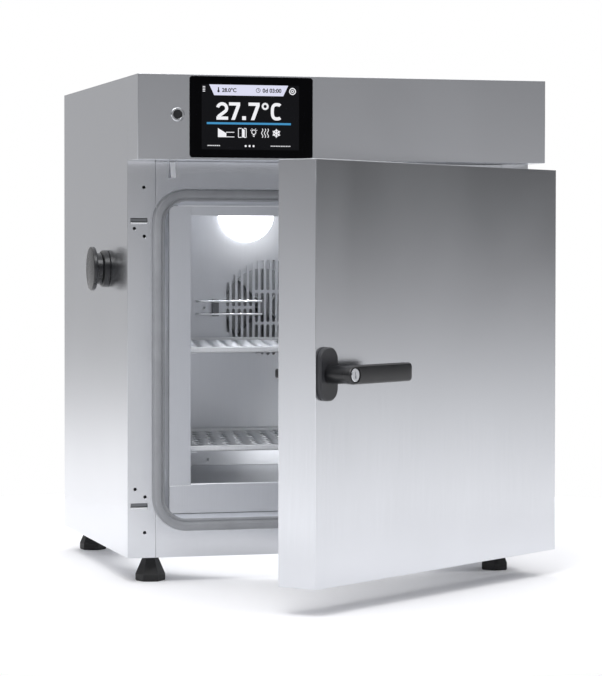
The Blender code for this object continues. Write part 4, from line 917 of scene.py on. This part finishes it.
class INCUBATOR_OT_display(bpy.types.Operator):
    """Makes the display glass and what it shows: banner, reading, bar and icons"""

    bl_idname = "incubator.display"
    bl_label = "Display"

    def execute(self, context):
        ease("display_glass", "glass", 0.4 * MM, 3)
        self.add("display_field", [self.rectangle(16.7, 154.9, 11.3, 100.2)], "ink_field", 0.0)
        banner = [(27.3, 100.2), (139.5, 100.2), (132.3, 85.5), (34.3, 85.5)]
        self.add("display_banner", [banner], "ink_banner")
        self.add("display_bar", [self.rectangle(23.9, 143.3, 45.8, 48.6)], "ink_blue")
        self.add("display_reading", self.reading(), "ink_white")
        figures = [
            lettering(words, 5.8 * MM, left * MM, 90.0 * MM, 0.028)
            for words, left in (("28.0°C", 45.3), ("0d 03:00", 102.9))
        ]
        add_piece("display_small_figures", joined(*figures), "ink_dark", "cabinet")
        self.add("display_banner_marks", self.banner_marks(), "ink_dark", 2 * INK_DEPTH)
        self.add("display_icons", self.icons(), "ink_white")
        paint("nylon", "display_module")
        paint("board", "control_board")
        return {"FINISHED"}

    def rectangle(self, left, right, bottom, top):
        """Corners of an upright rectangle, in millimetres."""
        return [(left, bottom), (right, bottom), (right, top), (left, top)]

    def add(self, name, outlines, finish, raise_by=INK_DEPTH):
        """Lays millimetre outlines on the glass as one piece."""
        plates = [on_glass(np.asarray(outline, float) * MM, raise_by) for outline in outlines]
        add_piece(name, joined(*plates), finish, "cabinet")

    def reading(self):
        """The main temperature in strokes 4.4 mm wide: two, seven, point, seven, degree sign and C."""
        stroke, base, top = 4.4, 52.1, 76.1
        half = stroke / 2
        two = np.concatenate([
            arc((45.6, top - 8.2), (6.3, 8.2 - half), 170, -38), [(39.8, base + stroke * 0.9)]
        ])
        marks = [ribbon(two, stroke), self.rectangle(37.5, 54.0, base, base + stroke)]
        for left in (55.2, 82.9):
            right, under = left + 15.8, top - stroke
            marks.append(self.rectangle(left, right, under, top))
            marks.append([(left + 3.2, base), (left + 8.4, base), (right, under), (left + 10.7, under)])
        marks.append(self.rectangle(73.9, 79.3, base, base + 5.2))
        marks += [strip(a, b, 2.7) for a, b in self.around((106.6, 71.2), 3.7, 20)]
        marks.append(ribbon(arc((123.4, (base + top) / 2), (6.6, 12.0 - half), 52, 308, 0.72, 40), stroke))
        return marks

    def banner_marks(self):
        """A thermometer at the left of the banner's figures, and a round clock face before the time."""
        stem = strip((40.4, 90.4), (40.4, 96.6), 1.5)
        bulb = ring(14, 1.7) + (40.4, 91.2)
        dial = [strip(a, b, 0.7) for a, b in self.around((96.6, 93.0), 2.9, 14)]
        hands = [strip((96.6, 93.0), (96.6, 95.2), 0.6), strip((96.6, 93.0), (98.0, 92.4), 0.6)]
        return [stem, bulb, *dial, *hands]

    def around(self, centre, radius, count):
        """The sides of a regular polygon about a centre, as pairs of points."""
        points = ring(count, radius) + centre
        return list(zip(points, np.roll(points, -1, axis=0)))

    def heading(self, angle):
        """A step of length one at an angle in degrees."""
        return np.array([math.cos(math.radians(angle)), math.sin(math.radians(angle))])

    def icons(self):
        """Five icons in a row: falling graph, door, lamp, rising heat and snow; then the corners' marks."""
        width = 1.0
        base, top = 28.2, 40.6
        graph = [(39.6, base), (39.6, top), (51.5, 33.6), (51.5, base)]
        strokes = [((51.0, 35.0), (62.8, 35.0)), ((51.0, base + 0.5), (62.8, base + 0.5))]
        door = [((68.6, base), (68.6, top)), ((68.6, top), (73.0, top)), ((68.6, base), (73.0, base))]
        door += [((79.6, base), (79.6, top)), ((76.4, top), (79.6, top)), ((76.4, base), (79.6, base))]
        leaf = [(73.6, base), (77.6, base), (77.6, 38.6), (73.6, top)]
        bulb = np.array([90.4, 35.6])
        lamp = self.around(bulb, 3.0, 16)
        lamp += [((89.0, 31.6), (91.8, 31.6)), ((89.3, 29.8), (91.5, 29.8))]
        lamp += [(bulb + 4.2 * ray, bulb + 5.6 * ray) for ray in map(self.heading, (150, 120, 60, 30))]
        heat = []
        for middle in (102.4, 106.4, 110.4):
            heights = np.linspace(base, top, 11)
            sway = middle + 1.0 * np.sin((heights - base) / (top - base) * 3 * math.pi)
            heat.append(ribbon(np.stack([sway, heights], -1), width))
        centre = np.array([122.6, 34.4])
        snow = []
        for arm in map(self.heading, (90, 30, -30)):
            cross = np.array([-arm[1], arm[0]])
            snow.append((centre - 6.0 * arm, centre + 6.0 * arm))
            for end in (-1, 1):
                knee = centre + 2.6 * end * arm
                tip = centre + 4.4 * end * arm
                snow += [(knee, tip + 1.7 * cross), (knee, tip - 1.7 * cross)]
        lines = [strip(a, b, width) for a, b in (*strokes, *door, *lamp)]
        lines += [strip(a, b, 1.3) for a, b in snow]
        dots = [ring(10, 1.5) + (x, 16.4) for x in (78.9, 84.5, 90.1)]
        ends = [strip((x, 16.6), (x + 1.8, 16.6), 1.3) for x in np.arange(25.0, 41.0, 2.6)]
        ends += [strip((x, 16.6), (x + 1.5, 16.6), 1.3) for x in np.arange(114.6, 143.0, 2.4)]
        menu = [strip((18.2, z), (21.6, z), 1.0) for z in (90.8, 92.9, 95.0, 97.1)]
        gear = [strip(a, b, 1.5) for a, b in self.around((145.6, 92.4), 4.2, 16)]
        gear += [strip(a, b, 1.2) for a, b in self.around((145.6, 92.4), 1.7, 10)]
        return [graph, leaf, *heat, *lines, *dots, *ends, *menu, *gear]


class INCUBATOR_OT_fittings(bpy.types.Operator):
    """Finishes the power button, side port, feet, hinges, door switch and mains fittings"""

    bl_idname = "incubator.fittings"
    bl_label = "Fittings"

    def execute(self, context):
        ease("power_button_bezel", "polished", 0.25 * MM)
        ease("power_button", "nylon", 0.3 * MM)
        self.make_port()
        for place in ("front_left", "front_right", "rear_left", "rear_right"):
            ease(f"foot_{place}", "rubber", 1.1 * MM, 3)
        for place in ("top", "bottom"):
            ease(f"hinge_bracket_{place}", "polished", 0.5 * MM)
            ease(f"hinge_pin_{place}", "polished", 0.4 * MM)
        ease("door_switch_leaf", "natural_nylon", 0.2 * MM)
        ease("mains_inlet", "nylon", 0.5 * MM)
        ease("mains_switch_frame", "nylon", 0.5 * MM)
        ease("mains_rocker", "nylon", 0.4 * MM)
        paint("nylon", "door_switch")
        return {"FINISHED"}

    def make_port(self):
        """The plug as a lathe shape about the port's axis, the two rims of its disc quarter rounds; the
        port's tube gets rolled edges.
        """
        low, high = node_box("port_plug")
        centre = ((low[1] + high[1]) / 2, (low[2] + high[2]) / 2)
        disc_back, neck_end, neck_radius = low[0] + 6.2 * MM, low[0] + 14.6 * MM, 22.5 * MM
        bore_radius, tip_radius, step = 14.6 * MM, 13.0 * MM, 0.1 * MM
        disc = eased_profile((high[2] - low[2]) / 2, low[0], disc_back, 1.6 * MM)
        neck = [(neck_radius, disc_back + 2 * step), (neck_radius, neck_end), (bore_radius, neck_end + step)]
        stopper = [(bore_radius, high[0] - 4.0 * MM), (tip_radius, high[0])]
        plug = turned(disc + neck + stopper, 0, centre, 64)
        add_piece("port_plug_turned", plug, "plug", "port_plug", ("port_plug",))
        ease("port_tube", "nylon", 0.6 * MM)


class INCUBATOR_OT_works(bpy.types.Operator):
    """Finishes what is inside: fan, motor, heater and insulation"""

    bl_idname = "incubator.works"
    bl_label = "Inner Works"

    def execute(self, context):
        paint("aluminium", "fan_impeller", "fan_motor")
        paint("heater", "ring_heater")
        paint("wool", "insulation_jacket")
        return {"FINISHED"}


# --- Stage ---------------------------------------------------------------------------------

# Brightness of the surround by the sine of its elevation, in each direction.
LOWEST = -0.25
FRONT_BAND = ((LOWEST, 0.72), (-0.13, 1.1), (-0.09, 0.98), (-0.05, 0.83), (-0.01, 0.60), (0.012, 0.40),
              (0.03, 0.40), (0.043, 0.235), (0.3, 0.19))
RIGHT_BAND = ((LOWEST, 0.74), (-0.12, 1.42), (-0.077, 1.16), (-0.05, 0.71), (-0.026, 0.40), (0.0, 0.19),
              (0.04, 0.05), (0.3, 0.04))
REAR_BAND = ((LOWEST, 0.76), (-0.12, 1.4), (-0.075, 1.18), (-0.05, 0.64), (-0.03, 0.50), (0.06, 0.47),
             (0.3, 0.42))
LEFT_BAND = ((LOWEST, 0.8), (-0.13, 1.8), (-0.066, 1.15), (-0.045, 0.68), (-0.01, 0.34), (0.03, 0.19),
             (0.3, 0.17))

# How far the picture is shifted across and up, as shares of its width.
LENS_SHIFT = (-0.001, -0.032)
FLOOR_SIDES = 96


class INCUBATOR_OT_stage(bpy.types.Operator):
    """Sets the camera, the soft studio light and the pale floor"""

    bl_idname = "incubator.stage"
    bl_label = "Stage"

    def execute(self, context):
        settings = context.scene.incubator_stage
        self.set_camera(settings)
        self.lay_floor(settings)
        self.set_world(settings)
        self.add_lights(settings)
        context.scene.view_settings.view_transform = "Standard"
        return {"FINISHED"}

    def set_camera(self, settings):
        """A long lens at standing distance, a little left of the door and level with its upper half."""
        data = bpy.data.cameras.new("studio_camera")
        data.lens = settings.lens
        data.sensor_width = 36.0
        data.shift_x, data.shift_y = LENS_SHIFT
        data.clip_start = 0.05
        camera = new_object("studio_camera", data)
        camera.location = settings.camera_place
        tilt, roll, yaw = settings.camera_turn
        turn = Matrix.Rotation(-yaw, 4, "Z") @ Matrix.Rotation(math.pi / 2 + tilt, 4, "X")
        camera.rotation_euler = (turn @ Matrix.Rotation(roll, 4, "Z")).to_euler()
        bpy.context.scene.camera = camera

    def lay_floor(self, settings):
        """A flat disc: rings of points about the object's middle."""
        centre = sum(node_box("base_panel")) / 2
        radii = np.array([0.05, 0.4, 0.8, settings.floor_radius])
        loops = [on_plane(ring(FLOOR_SIDES, radius) + centre[:2], 2, 0.0) for radius in radii]
        faces = grid_faces(len(loops), FLOOR_SIDES, wrap_columns=True).tolist() + [list(range(FLOOR_SIDES))]
        mesh = new_mesh("studio_floor", np.concatenate(loops), faces)
        mesh.materials.append(floor_paint())
        floor = new_object("studio_floor", mesh)

    def set_world(self, settings):
        """Studio surround: bright below eye level, a dim band just above it and soft light overhead. The band
        is darkest to the right and palest behind, which is what each side of the case mirrors."""
        world = bpy.data.worlds.new("studio_surround")
        world.use_nodes = True
        tree = world.node_tree
        tree.nodes.clear()
        direction = add_node(tree, "ShaderNodeTexCoord").outputs["Generated"]
        split = add_node(tree, "ShaderNodeSeparateXYZ", {"Vector": direction})
        bands = (FRONT_BAND, RIGHT_BAND, REAR_BAND, LEFT_BAND)
        front, right, rear, left = (self.band(tree, split, stops, settings.overhead) for stops in bands)
        colour = blend_colours(tree, self.share(tree, split.outputs["Y"], -0.2, 0.6), front, rear)
        colour = blend_colours(tree, self.share(tree, split.outputs["X"], 0.4, 0.9), colour, right)
        colour = blend_colours(tree, self.share(tree, split.outputs["X"], -0.5, -0.9), colour, left)
        glow = add_node(tree, "ShaderNodeBackground", {"Color": colour})
        white = add_node(tree, "ShaderNodeBackground", {"Color": (1.0, 1.0, 1.0, 1.0), "Strength": 1.0})
        seen = add_node(tree, "ShaderNodeLightPath").outputs["Is Camera Ray"]
        mixed = add_node(tree, "ShaderNodeMixShader", {0: seen, 1: glow.outputs[0], 2: white.outputs[0]})
        add_node(tree, "ShaderNodeOutputWorld", {"Surface": mixed.outputs[0]})
        bpy.context.scene.world = world

    def share(self, tree, value, start, end):
        """Rises smoothly from 0 to 1 as the value goes from start to end."""
        inputs = {"Value": value, "From Min": start, "From Max": end}
        return add_node(tree, "ShaderNodeMapRange", inputs, interpolation_type="SMOOTHSTEP").outputs["Result"]

    def band(self, tree, split, stops, overhead):
        """Brightness against the sine of the elevation, from LOWEST up to 1."""
        inputs = {"Value": split.outputs["Z"], "From Min": LOWEST, "From Max": 1.0}
        height = add_node(tree, "ShaderNodeMapRange", inputs).outputs["Result"]
        ramp = add_node(tree, "ShaderNodeValToRGB", {"Fac": height})
        stops = (*stops, (0.6, overhead * 0.8), (1.0, overhead))
        while len(ramp.color_ramp.elements) < len(stops):
            ramp.color_ramp.elements.new(0.5)
        for element, (level, value) in zip(ramp.color_ramp.elements, stops):
            element.position = (level - LOWEST) / (1 - LOWEST)
            element.color = (value, value, value * 1.02, 1.0)
        return ramp.outputs["Color"]

    def add_lights(self, settings):
        """Two large soft boxes high up, and the lamp's own spill inside the chamber and behind the baffle."""
        aim = Vector((0.25, 0.1, 0.35))
        self.area("front_soft_box", (-0.7, -1.5, 2.6), aim, 1.4, settings.soft_box)
        self.area("rear_soft_box", (0.8, 2.2, 2.2), aim, 1.6, settings.soft_box * 0.6)
        low, high = node_box("lamp_lens")
        middle = Vector((low + high) / 2)
        self.area("lamp_spill", middle + Vector((0.06, -0.21, 0.01)), middle, 0.1, settings.lamp_spill)
        low, high = node_box("chamber_rear_wall")
        place = Vector(((low[0] + high[0]) / 2, low[1] - 0.008, high[2] - 0.02))
        self.point("duct_glow", place, 0.006, settings.lamp_spill * 13)
        low, high = node_box("shelf_lower")
        place = Vector(((low[0] + high[0]) / 2 + 0.07, low[1] + 0.06, low[2] - 0.03))
        self.point("chamber_glow", place, 0.04, settings.lamp_spill * 5.0)
        low, high = node_box("chamber_wall_right")
        place = Vector((low[0] - 0.015, low[1] + 0.012, (low[2] + high[2]) / 2 - 0.03))
        aim_left = Vector((low[0] - 0.3, low[1] + 0.1, place.z - 0.02))
        self.area("door_bounce", place, aim_left, 0.03, settings.bounce * 0.3, 0.34)
        low, high = node_box("base_panel")
        middle = (low + high) / 2
        under = Vector((middle[0], middle[1], 0.8 * low[2]))
        self.area("under_fill", under, under - Vector((0.0, 0.0, 1.0)), 0.5, settings.bounce)

    def lamp(self, name, kind, place, power):
        """A light that the camera doesn't see."""
        data = bpy.data.lights.new(name, kind)
        data.energy = power
        lamp = new_object(name, data)
        lamp.location = place
        lamp.visible_camera = False
        return lamp

    def area(self, name, place, aim, width, power, height=None):
        """A round or oval area light that faces its aim."""
        lamp = self.lamp(name, "AREA", place, power)
        lamp.data.shape = "ELLIPSE"
        lamp.data.size, lamp.data.size_y = width, height or width
        lamp.rotation_euler = (Vector(aim) - Vector(place)).to_track_quat("-Z", "Y").to_euler()

    def point(self, name, place, radius, power):
        """A small bare lamp."""
        self.lamp(name, "POINT", place, power).data.shadow_soft_size = radius


# --- Settings, panel and running -----------------------------------------------------------

class IncubatorFinish(bpy.types.PropertyGroup):
    """Finish of the sheets and the lamp"""

    sheet_roughness: bpy.props.FloatProperty(
        name="Sheet Roughness", description="How far the brushed case blurs what it mirrors",
        default=0.2, min=0.05, max=0.9, subtype="FACTOR",
    )
    chamber_roughness: bpy.props.FloatProperty(
        name="Chamber Roughness", description="How far the chamber's sheet blurs what it mirrors",
        default=0.32, min=0.05, max=0.9, subtype="FACTOR",
    )
    lamp_strength: bpy.props.FloatProperty(
        name="Lamp Strength", description="Light that the chamber lamp gives", default=12.0, min=0.0,
    )


class IncubatorStage(bpy.types.PropertyGroup):
    """Camera, light and floor"""

    lens: bpy.props.FloatProperty(
        name="Lens", description="Focal length on a 36 mm sensor", default=143.79, min=10.0, unit="CAMERA",
    )
    camera_place: bpy.props.FloatVectorProperty(
        name="Camera Place", description="Where the camera stands", size=3,
        default=(-0.8123, -3.7024, 0.4602), subtype="TRANSLATION", unit="LENGTH",
    )
    camera_turn: bpy.props.FloatVectorProperty(
        name="Camera Turn", description="Tilt up, roll and turn to the right", size=3,
        default=(math.radians(-1.349), math.radians(0.063), math.radians(15.585)), subtype="EULER",
        unit="ROTATION",
    )
    floor_radius: bpy.props.FloatProperty(
        name="Floor Radius", description="How far the pale floor reaches",
        default=1.15, min=0.5, unit="LENGTH",
    )
    overhead: bpy.props.FloatProperty(
        name="Overhead", description="Brightness of the surround straight above", default=1.5, min=0.0,
    )
    soft_box: bpy.props.FloatProperty(
        name="Soft Box", description="Power of the main soft box in watts", default=28.0, min=0.0,
    )
    lamp_spill: bpy.props.FloatProperty(
        name="Lamp Spill", description="Power in watts of the light that the chamber lamp scatters",
        default=0.035, min=0.0,
    )
    bounce: bpy.props.FloatProperty(
        name="Bounce", description="Power in watts of the light thrown back by the floor and the open door",
        default=0.4, min=0.0,
    )


STEPS = (
    INCUBATOR_OT_stage,
    INCUBATOR_OT_case,
    INCUBATOR_OT_chamber,
    INCUBATOR_OT_shelves,
    INCUBATOR_OT_seal,
    INCUBATOR_OT_door,
    INCUBATOR_OT_handle,
    INCUBATOR_OT_display,
    INCUBATOR_OT_fittings,
    INCUBATOR_OT_works,
)


class INCUBATOR_PT_panel(bpy.types.Panel):
    """Lists the incubator's steps in the sidebar"""

    bl_idname = "INCUBATOR_PT_panel"
    bl_label = "Incubator"
    bl_space_type = "VIEW_3D"
    bl_region_type = "UI"
    bl_category = "Incubator"

    def draw(self, context):
        layout = self.layout
        for group in (context.scene.incubator_finish, context.scene.incubator_stage):
            for name in group.bl_rna.properties.keys():
                if name not in ("rna_type", "name"):
                    layout.prop(group, name)
        for step in STEPS:
            layout.operator(step.bl_idname)


CLASSES = (IncubatorFinish, IncubatorStage, *STEPS, INCUBATOR_PT_panel)


def register():
    """Registers the classes and hangs the settings on the scene."""
    for cls in CLASSES:
        bpy.utils.register_class(cls)
    bpy.types.Scene.incubator_finish = bpy.props.PointerProperty(type=IncubatorFinish)
    bpy.types.Scene.incubator_stage = bpy.props.PointerProperty(type=IncubatorStage)


def unregister():
    """Takes the settings and classes away again."""
    del bpy.types.Scene.incubator_stage
    del bpy.types.Scene.incubator_finish
    for cls in reversed(CLASSES):
        bpy.utils.unregister_class(cls)


def main():
    """Builds everything in order."""
    register()
    for step in STEPS:
        group, name = step.bl_idname.split(".")
        getattr(getattr(bpy.ops, group), name)()


if __name__ == "__main__":
    main()
